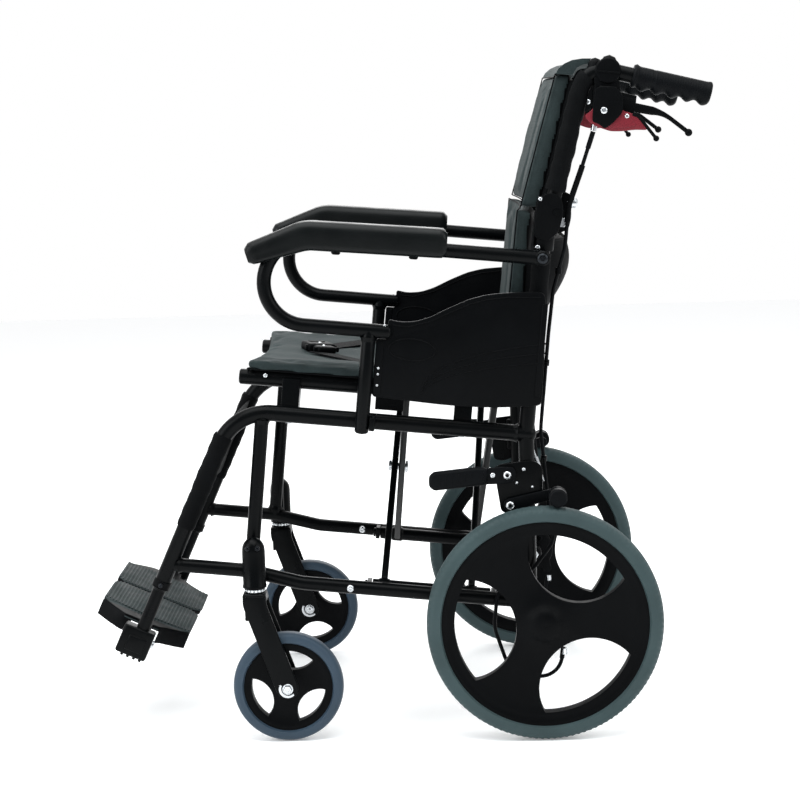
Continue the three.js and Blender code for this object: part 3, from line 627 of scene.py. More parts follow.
pair("back_cane_look", back_cane(), "frame_black", "back", "back_cane")
knob = lathe([(0, 0), (0, 3.4), (6, 3.4), (6, 6.2), (7, 7), (12.5, 7), (14.5, 5), (14.5, 0)], "Y", 28)
latch_nut = lathe([(0, 0), (0, 6.4), (0.6, 7), (3, 7), (3.6, 6.2), (3.6, 0)], "X", 6)
knobs = knob.move(FX - 22.6, -17, 559) + latch_nut.move(FX - 19.4, -21, 532)
pair("latch_knobs", pitched(knobs), "steel", "back")
latch = rounded([(-34, 520), (-24, 516), (-11, 524), (-9, 540), (-12, 570), (-24, 574), (-34, 562)], 5)
pair("latch_plate", pitched(plate(latch, FX - 23, FX - 19.4, 1)), "black_plastic", "back")


def hand_grip(length=106.0, slices=150):
    """A moulded grip: round above, five finger waves below, and rings at both ends."""
    loops = []
    for i in range(slices + 1):
        y = length * i / slices
        wave = 0.5 - 0.5 * math.cos(2 * math.pi * (y - 5) / 20.5) if y > 5 else 0
        body = 14.2 + 2 * math.exp(-((y - 3.5) / 2.5) ** 2) + 0.8 * math.exp(-((y - 103) / 3) ** 2)
        body -= 0.32 * max(0.0, y - 103.5) ** 2 + (0.35 if 26 < y < 30 else 0)
        rib = 0.28 if (y % 3.4) < 1.7 and 12 < y < 98 else 0
        loop = []
        for t in angles(48):
            under = max(0.0, -math.sin(t)) ** 1.4
            r = body + (4.6 * wave - 0.9) * under + rib * abs(math.cos(t)) ** 6
            loop.append((r * math.cos(t) + FX, y, r * math.sin(t)))
        loops.append(loop)
    return pitched(rings(loops).turn("X", math.radians(-8.1)).move(0, 53, 732))


pair("hand_grip_look", hand_grip(), "black_rubber", "back", "hand_grip", sharp=50)


def brake_clamp():
    s = lathe(both_ends([(-13.4, 11), (-13.4, 15.6), (-11.5, 17.2)]), "X", 40).move(FX, 20, 736)
    for x, y, cap in ((FX, 21, [(728, 0), (728, 11.4), (741, 11.6), (749, 10.6), (754, 7.6), (757, 0)]),
                      (FX - 3, 3, [(728, 0), (728, 9.6), (739, 9.8), (746, 8.6), (750, 5.8), (752, 0)])):
        s += lathe(cap, "Z", 36).move(x, y, 0)
    side = rounded([(2, 728), (36, 726), (40, 708), (33, 690), (24, 682), (9, 680), (4, 692), (5, 710)], 5)
    for x in (FX - 11, FX + 5):
        s += plate(side, x, x + 6, 1.6)
    s += box((FX - 7, FX + 7), (3, 12), (684, 728), 1.5)
    s += box((FX - 14.5, FX + 14.5), (6, 36), (733, 735.4), 0.6)
    cover = rounded([(6, 714), (4, 694), (5, 668), (14, 666), (22, 660), (32, 668), (44, 684), (42, 706),
                     (32, 716)], [6, 8, 4, 4, 3, 8, 5, 8, 6], 5)
    s += plate(cover, FX + 15.4, FX + 17.6, 0.9) + box((FX + 5, FX + 16), (10, 34), (706, 716), 1.5)
    s += side_tube(5.2, FX, [(12, 692), (10.5, 673)], sides=20)
    return pitched(s)


pair("brake_clamp_look", brake_clamp(), "black_plastic", "back", "brake_clamp")
silver = bolt(FX + 17.4, FX + 18.6, 19, 684, 4.2) + bolt(FX - 10.6, FX - 14.2, 24, 697, 4.4)
silver += side_tube(3.9, FX, [(10.5, 674), (8.6, 656.4)], sides=18)
silver += side_tube(5, FX, [(9.9, 667.5), (9.6, 665)], sides=6)
pair("brake_silver", pitched(silver), "steel", "back")


def brake_lever():
    """A blade lever: broad at its pivot, thinning to a ball."""
    path = bent([(FX, 24, 696), (FX, 60, 691, 40), (FX, 98, 687, 60), (FX, 134, 664)], 10)
    loops = []
    for i, (p, (d, _, _)) in enumerate(zip(path, frames(path))):
        high = 14 * (1 - i / (len(path) - 1)) ** 2.2 + 2.9
        n = Vector((1, 0, 0)).cross(d).normalized()
        section = [(3.4 * squared(math.cos(a), 0.6), high * squared(math.sin(a), 0.75)) for a in angles(20)]
        loops.append([p + Vector((x, 0, 0)) + n * z for x, z in section])
    tip = ball(5, 14, "Y", 24)
    return pitched(rings(loops) + Shape(tip.v * np.array([0.9, 1, 1]), tip.f).move(FX, 134, 664))


pair("brake_lever_look", brake_lever(), "black_plastic", "brake_lever", "brake_lever")
blade = [(-6, 675), (4, 684), (12, 703), (34, 703), (44, 685), (54, 684), (63, 680), (70, 673), (79, 663),
         (62, 662), (44, 658.5), (30, 657.5), (12, 662), (0, 668)]
raised = [(10, 668), (30, 662), (46, 663), (64, 667), (54, 678), (20, 680)]
red = plate(rounded(blade, 4.5), FX + 11.4, FX + 14.2, 1.0)
red += plate(rounded(raised, 4), FX + 14, FX + 14.9, 0.4)
pair("parking_lever_look", pitched(red), "red_plastic", "parking_lever", "parking_lever")
prong = side_tube(2.3, FX + 13, [(57, 682), (65, 680, 10), (91, 653)], sides=14)
prong += ball(4, 12, "Y", 20).move(FX + 13, 91, 653)
pair("parking_prong", pitched(prong), "black_plastic", "parking_lever")
pair("parking_eye", pitched(bolt(FX + 14, FX + 15.4, 50, 679, 3.0)), "steel", "parking_lever")


# ---------------------------------------------------------------- armrests
def armrest():
    loop = [ARM_PIVOT, (-410.5, 485, 56.9), (-410.5, 371, 56.9), (-240, 371)]
    s = side_tube(9.5, AX, loop, sides=28, steps=16, dome=0.5)
    s += side_tube(9.5, AX, [(-266, 371), (-266, 235)], sides=24, dome=0.4)
    s += lathe(both_ends([(-9.4, 0), (-9.4, 8.4), (-8, 9.9)]), "X", 32).move(AX, *ARM_PIVOT)
    s += flare((AX, -266, 362), (0, 0, -1), 9.5)
    return pitched(s)


pair("armrest_look", armrest(), "frame_black", "arm", "armrest")


def arm_pad():
    """A moulded pad: crowned top, sides that roll under, and a lip round its base."""
    line = bent([(AX, -172, 491.8), (AX, -358, 488, 46), (AX, -434, 456)], 14)
    fr = frames(line)
    total = sum((b - a).length for a, b in zip(line, line[1:]))
    places = []
    for i, (a, b) in enumerate(zip(line, line[1:])):
        steps = max(1, round((b - a).length / 6))
        places += [(a.lerp(b, k / steps), fr[i][0].lerp(fr[i + 1][0], k / steps)) for k in range(steps)]
    places.append((line[-1], fr[-1][0]))
    loops, gone, last = [], 0.0, line[0]
    for p, d in places:
        gone += (p - last).length
        last = p
        front = min(1.0, gone / total)
        end = math.sqrt(max(0.0, 1 - (1 - min(gone / 9.0, (total - gone) / 9.0, 1)) ** 2))
        n = Vector((-1, 0, 0)).cross(d).normalized()
        width = (20.5 + 1.5 * math.sin(front * math.pi)) * (0.86 + 0.14 * end)
        top = (22.5 - 5.5 * max(0.0, (front - 0.72) / 0.28)) * (0.7 + 0.3 * end)
        low = (17 - 5 * max(0.0, (front - 0.7) / 0.3)) * (0.7 + 0.3 * end)
        loop = []
        for a in angles(56):
            c, s = math.cos(a), math.sin(a)
            z = squared(s, 0.62) * top if s > 0 else squared(s, 0.35) * low
            x = squared(c, 0.55) * width * (0.975 if abs(z + 6) < 1.3 else 1)
            loop.append(p + Vector((x, 0, 0)) + n * z)
        loops.append(loop)
    return pitched(rings(loops))


for pad in pair("arm_pad_look", arm_pad(), "pad_skin", "arm", "arm_pad", sharp=60):
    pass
boss = lathe([(-20, 0), (-20, 4.5), (-18.5, 6), (-8, 7), (-8, 0)], "Z", 24)
pair("pad_bosses", pitched(boss.move(AX, -215, 490) + boss.move(AX, -318, 488)), "black_plastic", "arm")


# ---------------------------------------------------------------- side guards
def ridge(points, x, r):
    return swept(r, [Vector((x, a, b)) for a, b in points], 10)


def side_guard():
    """The moulded guard: a raised line under its wavy top, an oval and three swept lines on both faces."""
    top = [(-241.5, 388), (-225, 385.5), (-205, 388), (-185, 396), (-160, 411), (-135, 424), (-112, 431.5),
           (-85, 436), (-60, 439), (-37, 440)]
    outline = [(-255.5, 283), (-255.5, 361), (-241.5, 361), *top, (-32, 380), (-30, 330), (-29, 289),
               (-90, 281), (-150, 279)]
    s = plate(rounded(outline, [5, 3, 3, 4] + [8] * 8 + [9, 30, 30, 8, 30, 30], 4), AX - 3.5, AX + 2.3, 1.3)
    oval = [(-207 + 31 * math.cos(t), 350 + 14.5 * math.sin(t)) for t in angles(48)]
    under = [(-236, 381), (-215, 380), (-185, 390), (-160, 404), (-135, 417), (-112, 425), (-85, 430),
             (-42, 433)]
    for x in (AX + 2.3, AX - 3.5):
        s += ridge(oval + oval[:1], x, 1.0)
        for k in range(3):
            s += ridge([(-190 + 160 * t, 292 + 4 * k + (62 + 10 * k) * t ** 0.55 * (1 - 0.12 * t))
                        for t in [i / 26 for i in range(27)]], x, 0.9)
        s += ridge(under, x, 0.9)
    s += box((AX - 4.4, AX + 3.4), (-255, -245), (287, 358), 1)
    s += box((AX - 5.5, AX + 3.6), (-40, -32), (300, 425), 1.2)
    return pitched(s)


pair("side_guard_look", side_guard(), "guard_plastic", "arm", "side_guard")
rivets = Shape([], [])
for z in (299, 314, 322):
    rivets += bolt(AX + 3.2, AX + 5, -250, z, 1.9)
rivets += bolt(AX + 2.2, AX + 5.6, -246, 378, 2.8)
pair("guard_rivets", pitched(rivets), "steel", "arm")


# ---------------------------------------------------------------- cross-brace
def brace_half(side, shift):
    """A tube along the lower rail, and two bars up to the far seat rail, which shift moves along Y."""
    foot = (side * BRACE_X, 0, BRACE_LOW)
    length = math.hypot(2 * BRACE_X, SEAT_Z - BRACE_LOW)
    tilt = math.atan2(SEAT_Z - BRACE_LOW, -2 * side * BRACE_X)
    outline = rounded([(4, -11.5), (length - 6, -12.5), (length - 9, 12.5), (4, 11.5)], 4)
    sleeve_tube = lathe([(-236, 4.4), (-236, 8.2), (-235, 9.2), (-75, 9.2), (-74, 8.2), (-74, 4.4)], "Y", 32)
    s = sleeve_tube.move(*foot)
    for y in BRACE_BARS:
        s += plate(outline, y + shift - 4.5, y + shift + 4.5, 2.0, "Y").turn("Y", -tilt).move(*foot)
        weld = lathe(both_ends([(-8.5, 9.3), (-6, 10.8)]), "Y", 28)
        s += weld.move(foot[0], y + shift, foot[2])
    return s


def brace_pins():
    pin = lathe([(-14.6, 0), (-14.6, 5), (-13.4, 7.6), (-10.2, 7.6), (-10.2, 4.9), (10.4, 4.9), (10.4, 8.8),
                 (13, 8.8), (14.2, 5.5), (14.2, 0)], "Y", 28)
    return pin.move(0, BRACE_BARS[0], 153) + pin.move(0, BRACE_BARS[1], 153)


make("left_brace_look", pitched(brace_half(1, -5.2)), "frame_black", "left_brace", ["left_brace"])
make("right_brace_look", pitched(brace_half(-1, 5.2)), "frame_black", "right_brace", ["right_brace"])
make("brace_bolts", pitched(brace_pins()), "steel", "left_brace")
seat_tube = lathe([(-438, 0), (-438, 8.4), (-436.4, 10.2), (-434, 10.5), (-90, 10.5), (-88, 9.4), (-88, 0)],
                  "Y", 36)
crossed("seat_tube", pitched(seat_tube.move(BRACE_X, 0, SEAT_Z)), "frame_black", "seat_rail")


# ---------------------------------------------------------------- legs and footplates
def foot_tube():
    s = side_tube(9, FX, [leg(0.58), leg(1.285)], sides=28, dome=0.3)
    block = box((194, 217), (-24, 20), (-38, 3), 3.0) + box((150, 199), (10.6, 18.2), (-38, -11), 2.2)
    block += box((150, 199), (-18.2, -10.6), (-38, -11), 2.2) + box((199, 219), (-13, 13), (-30, -8), 2.0)
    for e in (-13, -4.5, 4.5, 13):
        block += box((197, 214), (e - 2, e + 2), (-41, -36), 0.8)
    return pitched(s + on_plate(block))


pair("foot_tube_look", foot_tube(), "frame_black", "foot", "foot_tube")
pin_head = [(18, 0), (18, 4.6), (19, 5.6), (21.4, 5.6), (22.4, 3.4), (22.4, 0)]
hinge_pin = lathe(pin_head, "Y", 24) + lathe([(-a, r) for a, r in reversed(pin_head)], "Y", 24)
pair("foot_pin", pitched(on_plate(hinge_pin.move(*PLATE_HINGE))), "steel", "foot")
collar = tube(12.4, [(FX, *leg(0.965)), (FX, *leg(1.005))], sides=32, dome=0.15)
pair("leg_collar", pitched(collar), "black_plastic", "frame")
pair("leg_collar_screw", pitched(bolt(FX + 12, FX + 14.6, *leg(0.985), 3.2)), "dark_steel", "frame")


def rib(x0, x1, e, t, half=1.5, high=1.5):
    """A low rounded rib along X, standing on the plate at t."""
    section = [(-half, -0.6), (half, -0.6), (half * 0.92, high * 0.55), (half * 0.5, high),
               (-half * 0.5, high), (-half * 0.92, high * 0.55)]
    return rings([[(x, e + a, t + b) for a, b in section] for x in (x0, x0 + 0.6, x1 - 0.6, x1)])


def plate_edge(sign, low, high):
    """One side of a footplate from its inner end to its hinge: straight at the front, hollow at the rear."""
    if sign < 0:
        return [(low, -NOSE + 12), (low + 12, -NOSE), (118, -NOSE), (136, -NOSE + 20), (149, -33), (149, -20),
                (149, -9.6), (high, -9.6)]
    return [(high, 9.6), (149, 9.6), (149, 19), (138, HALF - 32), (127, HALF - 14), (116, HALF),
            (low + 12, HALF), (low, HALF - 12)]


def footplate():
    """The black tray: side skirts, the inner ribs below, and the lug on the hinge pin."""
    outline = plate_edge(-1, 5.2, 176) + plate_edge(1, 5.2, 176)
    s = plate(rounded(outline, [2, 3, 12, 12, 5, 5, 4, 3, 3, 4, 6, 12, 12, 10, 3, 2], 4), -9, -2.6, 1.2, "Z")
    front = [(114, -NOSE), (119, -NOSE), (137, -NOSE + 20), (149, -33), (149, -21), (146, -21), (146, -31),
             (133, -NOSE + 23), (116, -NOSE + 5)]
    rear = [(112, HALF), (117, HALF), (128, HALF - 14), (140, HALF - 33), (149, 21), (147, 20),
            (136, HALF - 37), (124, HALF - 17), (114, HALF - 5)]
    s += plate(front[::-1], -27, -5, 1.0, "Z") + plate(rear, -27, -5, 1.0, "Z")
    s += box((157, 173), (-10, 10), (-33, -4), 2.0)
    s += rod(-20, 20, 3.5, "Y").move(*PLATE_HINGE)
    for x in (40, 85, 125):
        s += box((x - 1.2, x + 1.2), (-54, 50), (-16, -8), 0.6)
    for e in (-40, 0, 40):
        s += box((16, 126), (e - 1.2, e + 1.2), (-16, -8), 0.6)
    return pitched(on_plate(s))


def tread():
    """The grey tread: ribs across the plate, and a smooth shoulder that slopes down to the hinge."""
    flat = [(5.2, -NOSE + 12), (17.2, -NOSE), (118, -NOSE), (118, HALF - 2), (116, HALF), (17.2, HALF),
            (5.2, HALF - 12)]
    s = plate(rounded(flat, [2, 3, 2, 1, 2, 3, 2], 4), -2.6, -1.0, 0.5, "Z")
    slope = [(116, -NOSE + 1), (136, -NOSE + 22), (151, -31), (151, 17), (139, HALF - 33), (127, HALF - 15),
             (116, HALF - 2)]
    s += plate(rounded(slope, [1, 8, 5, 5, 10, 10, 1], 4), -3.0, -1.4, 0.5, "Z").turn("Y", 0.14, (116, 0, -2))
    pitch = (HALF + NOSE - 6) / 25
    for k in range(26):
        e = 3 - NOSE + pitch * k
        inset = max(0.0, e - (HALF - 12), -e - (NOSE - 12))
        s += rib(6.6 + inset, 122 - 12 * abs(e / NOSE) ** 2, e, -1.3)
    return pitched(on_plate(s))


pair("footplate_look", footplate(), "black_plastic", "plate", "footplate")
pair("tread_look", tread(), "ribbed_grey", "plate")


# ---------------------------------------------------------------- casters
def lens(angle, outer, radius, distance, reach, n):
    """The overlap of the rim's inner circle and a circle nearer the hub, as a prism along X."""
    a = math.radians(angle)
    cross = (distance ** 2 + outer ** 2 - radius ** 2) / (2 * distance)
    half_outer, half_inner = math.acos(cross / outer), math.acos((distance - cross) / radius)
    pts = []
    for k in range(n + 1):
        t = -half_outer + 2 * half_outer * k / n
        pts.append((outer * math.cos(t), outer * math.sin(t)))
    for k in range(1, n):
        t = half_inner - 2 * half_inner * k / n
        pts.append((distance - radius * math.cos(t), radius * math.sin(t)))
    pts = rounded(pts, [3.5 if k in (0, n) else 0 for k in range(len(pts))], 5)
    turned = [(y * math.cos(a) - z * math.sin(a), y * math.sin(a) + z * math.cos(a)) for y, z in pts]
    return rings([[(x, y, z) for y, z in turned] for x in (-reach, reach)])


def rims(kind, at, profile, sides, left_angles, right_angles, hole, edge):
    """The left and the right rim, each with openings cut at its angles and their edges softened."""
    for side, turns in (("left", left_angles), ("right", right_angles)):
        cutter = Shape([], [])
        for angle in turns:
            cutter += lens(angle, *hole)
        body, centre = lathe(profile, "X", sides), at
        if side == "right":
            body, cutter, centre = body.mirror(), cutter.mirror(), (-at[0], at[1], at[2])
        name = f"{side}_{kind}_rim_look"
        o = make(name, body.move(*centre), "black_plastic", None, [f"{side}_{kind}_rim"], at_row(*centre))
        tool = make(name + "_cutter", cutter.move(*centre), "black_plastic", None, (), at_row(*centre))
        opening = o.modifiers.new("cut", "BOOLEAN")
        opening.operation, opening.solver, opening.object = "DIFFERENCE", "EXACT", tool
        soft = o.modifiers.new("edge", "BEVEL")
        soft.width, soft.segments, soft.limit_method, soft.angle_limit = edge, 3, "ANGLE", math.radians(46)
        bake(o)
        bpy.data.objects.remove(tool)
        shade(o.data, 34)
        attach(o, f"{side}_{kind}_wheel")


rims("caster", CASTER_AT, both_ends([(-13, 4), (-13, 12.5), (-11.5, 14.4), (-7.4, 20), (-6.2, 24), (-6.6, 46),
                                     (-8.4, 52), (-9.2, 55), (-9.2, 60.6)]) + [(-13, 4)],
     112, (-40, 80, 200), (40, -80, -200), (50, 31.9, 55.9, 30, 40), 0.0012)


def tyre(radius, rim, half, sides, teeth=0, tooth=0.0):
    """A solid tyre: rounded tread, full side walls, and fine teeth along the tread's edges."""
    profile = [(-half * 0.70, rim - 1)]
    for t in [math.pi * k / 26 for k in range(27)]:
        x = -half * squared(math.cos(t), 0.72)
        profile.append((x, rim + 1 + (radius - rim - 1) * max(0.0, math.sin(t)) ** 0.5))
    profile.append((half * 0.70, rim - 1))
    loops = []
    for j in range(sides):
        a = 2 * math.pi * j / sides
        cog = 1 if teeth and (j * teeth // sides) % 2 else 0
        loop = []
        for x, r in profile:
            share = (r - rim) / (radius - rim)
            side = abs(x) / half
            cut = tooth * cog * (1 if 0.25 < side < 0.93 and share > 0.55 else 0)
            cut += tooth * 0.5 if teeth and (side < 0.1 or 0.22 < side < 0.3) else 0
            loop.append((x, (r - cut) * math.cos(a), (r - cut) * math.sin(a)))
        loops.append(loop)
    return rings(loops, wrap=True)


pair("caster_tyre_look", tyre(74.9, 61.2, 12.8, 128).move(*CASTER_AT), "caster_tyre", "caster_wheel",
     "caster_tyre", at_row(*CASTER_AT), 60)


def caster_fork():
    stem, axle = STEM_Y, CASTER_AT[1]
    side = rounded([(stem - 16, 203), (stem - 15.5, 190), (axle - 15, 70), (axle - 9, 62), (axle + 4, 60),
                    (axle + 14, 68), (axle + 14, 80), (stem + 17, 190), (stem + 15.5, 203)],
                   [6, 30, 6, 7, 7, 7, 30, 40, 6], 5)
    s = plate(side, CX - 19.5, CX - 15.4, 1.3) + plate(side, CX + 15.4, CX + 19.5, 1.3)
    crown = rounded([(stem - 16, 206), (stem - 16, 196), (stem - 12, 193), (stem + 13, 193), (stem + 17, 196),
                     (stem + 15, 206)], 3)
    s += plate(crown, CX - 18.6, CX + 18.6, 4.0, bevels=5)
    for x in (CX - 19.5, CX + 15.4):
        s += box((x + 0.2, x + 3.9), (stem - 13, stem + 14), (170, 200), 1.5)
    s += lathe([(203, 0), (203, 14.4), (206.6, 14.4), (207.2, 12), (207.2, 0)], "Z", 40).move(CX, stem, 0)
    return s


pair("caster_fork_look", caster_fork(), "frame_black", "caster", "caster_fork")
race = lathe([(206.8, 0), (206.8, 12.2), (207.6, 13.4), (210.6, 13.4), (211.4, 12.2), (211.4, 0)], "Z", 48)
for a in angles(16):
    race += ball(1.5, 6, "Z", 10).move(13.2 * math.cos(a), 13.2 * math.sin(a), 209.1)
pair("caster_race", race.move(CX, STEM_Y, 0), "steel", "caster")


def caster_axle():
    """The axle with a nut and a washer at each end, and beside each washer a steel crescent that is a painted
    highlight: only the lit part of a larger washer is built, and its shaded part is left out.
    """
    arc = [math.radians(a) for a in range(150, 316, 15)]
    # Painted highlight: this crescent is the lit lower side of a washer, and the shaded rest of that washer is
    # not built.
    lit_crescent = [(12.2 * math.cos(a), 12.2 * math.sin(a)) for a in arc]
    lit_crescent += [(0.6 + 9.4 * math.cos(a), 0.8 + 9.4 * math.sin(a)) for a in reversed(arc)]
    washer = lathe([(19.6, 0), (19.6, 7.2), (20.5, 7.6), (21.1, 7.2), (21.1, 0)], "X", 40)
    washer += plate(lit_crescent, 19.7, 20.5, 0.3)
    nut = [(21, 0), (21, 5.6), (21.6, 6.0), (24.2, 6.0), (24.9, 5.4), (24.9, 3.0), (25.4, 2.8), (26, 2),
           (26, 0)]
    s = rod(-23, 23, 3.7, sides=24) + (washer + lathe(nut, "X", 28)).mirror() + washer + lathe(nut, "X", 6)
    return s.move(*CASTER_AT)


pair("caster_axle_look", caster_axle(), "steel", "caster", "caster_axle")


# ---------------------------------------------------------------- rear wheels, axles and drum brakes
REAR_AT = (WX, 0, AXLE_Z)
rims("rear", REAR_AT, [(-14, 6.4), (-14, 22), (-12.5, 24), (-7.5, 34), (-6.4, 60), (-7.4, 112), (-9.6, 124),
                       (-11.5, 128), (-11.5, 139.6), (11.5, 139.6), (11.5, 134.5), (10.2, 132.5), (10.2, 127),
                       (9.0, 122), (7.2, 112), (6.0, 60), (7.4, 38), (10.5, 28), (12.0, 26), (13.6, 23.5),
                       (15.8, 21), (18.6, 17.5), (20.6, 12), (21.4, 6), (21.5, 0.4), (8, 0.4), (8, 6.4),
                       (-14, 6.4)],
     160, (-56.5, 63.5, 183.5), (236.5, 116.5, -3.5), (121.5, 70, 108.8, 40, 56), 0.0016)
rear_tyre = tyre(158.9, 139.9, 15.8, 480, teeth=240, tooth=0.9)
pair("rear_tyre_look", rear_tyre.move(*REAR_AT), "rear_tyre", "rear_wheel", "rear_tyre", at_row(*REAR_AT), 60)
axle = rod(190, 261, 6, sides=28)
axle += lathe([(183.6, 0), (183.6, 8.6), (184.8, 10), (191.2, 10), (192.4, 9), (192.4, 0)], "X", 6)
pair("rear_axle_look", axle.move(0, 0, AXLE_Z), "steel", "frame", "rear_axle")


def hub_brake():
    s = lathe([(227.2, 7), (227.2, 30), (228.4, 33), (229.6, 33.8), (232.6, 33.8), (232.6, 31.6),
               (233.8, 31.6), (233.8, 33.8), (238.2, 33.8), (239.3, 33), (239.3, 7), (227.2, 7)], "X", 64)
    s += plate(rounded([(10, -9), (27, -9), (31, -32), (26, -38), (20, -36)][::-1], 3), 227, 231, 1.0)
    s += bolt(227.6, 224.4, -20, 8, 4.2) + bolt(227.6, 224.6, 14, 18, 4.2)
    return s.move(0, 0, AXLE_Z)


pair("hub_brake_look", hub_brake(), "black_plastic", "frame", "hub_brake")
ferrule = lathe([(-4, 2.7), (-4, 4.2), (4, 4.2), (4, 2.7)], "Z", 20)
anchor = bolt(231, 233, 24, -29, 3.4) + ferrule.move(229, 26.5, -46)
pair("brake_anchor", anchor.move(0, 0, AXLE_Z), "steel", "frame")
spring = side_tube(1.5, FX - 5, [(-12, 396), (4, 342)], sides=10)
spring += side_tube(3.4, FX - 5, [(-6, 375), (-1, 358)], sides=14)
pair("lock_spring", spring, "steel", "frame")


# ---------------------------------------------------------------- wheel locks
def lock_bracket():
    (y0, z0), (y1, z1) = LOCK_PIVOT, SHOE_PIVOT
    outline = rounded([(y0 - 14, z0 + 13), (-10, 374), (2, 366), (2, 318), (y1 + 4, z1 - 13),
                       (y1 - 12, z1 - 11), (y0 - 15, z0 - 10)], 7)
    pin = rod(217, 229, 4)
    s = plate(outline, 216.2, 219.2, 0.9) + pin.move(0, y0, z0) + pin.move(0, y1, z1)
    s += box((205, 217), (-34, -4), (322, 368), 2)
    return s


pair("lock_bracket_look", lock_bracket(), "frame_black", "frame", "lock_bracket")
lock_bolts = bolt(226.6, 231, *LOCK_PIVOT, 6.0) + bolt(226.6, 230.6, *SHOE_PIVOT, 5.8)
for y, z, r in ((-33, 344, 2.4), (-23, 362, 2.8), (-4, 322, 3.0), (-12, 338, 2.2)):
    lock_bolts += bolt(219, 221.6, y, z, r)
pair("lock_bolts", lock_bolts, "steel", "frame")


def lock_lever():
    y = LOCK_PIVOT[0]
    arm = [(y - 62, 361), (y - 8, 367), (y + 9, 366), (y + 13, 354), (y + 6, 345), (y - 10, 344),
           (y - 62, 343)]
    s = plate(rounded(arm, 5), 219.8, 226.2, 1.0)
    grip = rounded([(-151, 343), (-151, 356), (-145, 362.4), (-84, 368), (-72, 366), (-72, 344), (-84, 342.5),
                    (-144, 337)], [9, 9, 12, 12, 5, 5, 12, 9], 6)
    s += plate(grip, 217.2, 231.5, 5.2, bevels=6)
    for k in range(6):
        s += ridge([(-137 + 8.5 * k, 343 + 0.7 * k), (-136 + 8.5 * k, 357.5 + 0.7 * k)], 231.2, 0.7)
    return s


pair("lock_lever_look", lock_lever(), "black_rubber", "lock_lever", "lock_lever")
pair("lock_rivet", bolt(226.2, 228.4, -65, 356, 3.8), "steel", "lock_lever")


def lock_shoe():
    """A round-ended arm from its pivot to the roller that presses on the tyre."""
    (y0, z0), (y1, z1) = SHOE_PIVOT, SHOE_AT
    tilt = math.atan2(z1 - z0, y1 - y0)
    arm = []
    for y, z, r, start in ((y0, z0, 8.5, tilt + math.pi / 2), (y1, z1, 7, tilt - math.pi / 2)):
        arm += [(y + r * math.cos(start + math.pi * k / 16), z + r * math.sin(start + math.pi * k / 16))
                for k in range(17)]
    roller = lathe([(241, 0), (241, 11), (242.4, 12.4), (252, 12.4), (253.4, 11.4), (254.8, 12.4),
                    (266, 12.4), (268, 10), (268, 0)], "X", 48)
    return plate(arm, 220, 225.8, 1.0) + (roller + rod(221, 250, 4.5)).move(0, y1, z1)


pair("lock_shoe_look", lock_shoe(), "black_rubber", "lock_shoe", "lock_shoe")


# ---------------------------------------------------------------- brake cables
CABLE = [(FX, 8.5, 655.4, 0), (FX, -3, 604, 50), (FX, -15, 556, 40), (FX - 2, -15, 500, 40),
         (FX - 14, -25, 440, 60), (FX - 18, -26, 380, 60), (FX - 18, -25, 250, 90), (FX - 12, -6, 150, 60),
         (FX + 4, 6, 105, 30), (FX + 17, -20, 66, 30), (FX + 17, -66, 30, 30), (FX + 17, -66, -20, 50),
         (FX + 17, -40, -78, 36), (FX + 19, 28, -86, 30), (FX + 24, 29, -38, 0)]


def bends_with_back(o, side):
    """The piece's placement is baked into its mesh."""
    x = FX if side == "left" else -FX
    row(x, -25, 512)
    row(x, -10, 590)
    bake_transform(o)


route = fine(CABLE)
housing = swept(2.6, route) + swept(3.4, route[:5]) + swept(3.3, route[-4:])
upper_sleeve = swept(4.0, [p for p in route if 530 < p.z < 612], 14)
cables = pair("brake_cable_look", pitched(housing), "black_rubber", None, "brake_cable")
cables += pair("cable_sleeve", pitched(upper_sleeve), "dark_fabric")
for o in cables:
    bends_with_back(o, o.name.split("_")[0])
clips = Shape([], [])
for z in (470, 340, 210):
    p = min(route, key=lambda q: abs(q.z - z))
    clips += lathe([(-4, 3.4), (-4, 4.4), (4, 4.4), (4, 3.4)], "Z", 20).move(*p)
    clips += box((p.x - 1, FX - 8), (p.y - 2, p.y + 2), (z - 3, z + 3), 0.8)
pair("cable_clips", pitched(clips), "black_plastic", "frame")


# ---------------------------------------------------------------- fabric
def show(o, node, look):
    """Gives a finished soft mesh its look and its CAD node."""
    o.data.materials.clear()
    o.data.materials.append(M[look])
    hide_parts(node)
    for p in o.data.polygons:
        p.use_smooth = True


def stuffed(name, node, held, cap, pressure=4.0):
    """A stuffed panel: the CAD solid, remeshed and puffed by a cloth simulation that is held at its seams.
    held(x, y, z) says which points stay, in the frame plane and millimetres; no point moves more than cap."""
    o = add(name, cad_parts[node].data.copy())
    remesh = o.modifiers.new("remesh", "REMESH")
    remesh.mode, remesh.voxel_size = "VOXEL", 0.006 * 1
    bake(o)
    rest = points(o)
    flat = unpitched(rest)
    group = o.vertex_groups.new(name="held")
    group.add([i for i, p in enumerate(flat) if held(*p)], 1.0, "REPLACE")
    cloth = o.modifiers.new("cloth", "CLOTH")
    c = cloth.settings
    c.use_pressure, c.uniform_pressure_force = True, pressure
    c.effector_weights.gravity = 0
    c.quality, c.mass, c.air_damping = 6, 0.15, 1.5
    c.tension_stiffness = c.compression_stiffness = 12
    c.shear_stiffness, c.bending_stiffness = 6, 0.3
    c.shrink_min = -0.04
    c.vertex_group_mass = "held"
    cloth.point_cache.frame_start, cloth.point_cache.frame_end = 1, PUFF_FRAMES
    for f in range(1, PUFF_FRAMES + 1):
        bpy.context.scene.frame_set(f)
    bake(o)
    bpy.context.scene.frame_set(1)
    step = points(o) - rest
    far = np.linalg.norm(step, axis=1, keepdims=True)
    set_points(o, rest + step * np.minimum(1, cap / np.maximum(far, 1e-9)))
    smooth = o.modifiers.new("smooth", "SMOOTH")
    smooth.factor, smooth.iterations = 0.5, 2
    o.modifiers.new("fine", "SUBSURF").levels = 1
    bake(o)
    o.vertex_groups.clear()
    return o


def points(o):
    v = np.empty(len(o.data.vertices) * 3)
    o.data.vertices.foreach_get("co", v)
    return v.reshape(-1, 3)


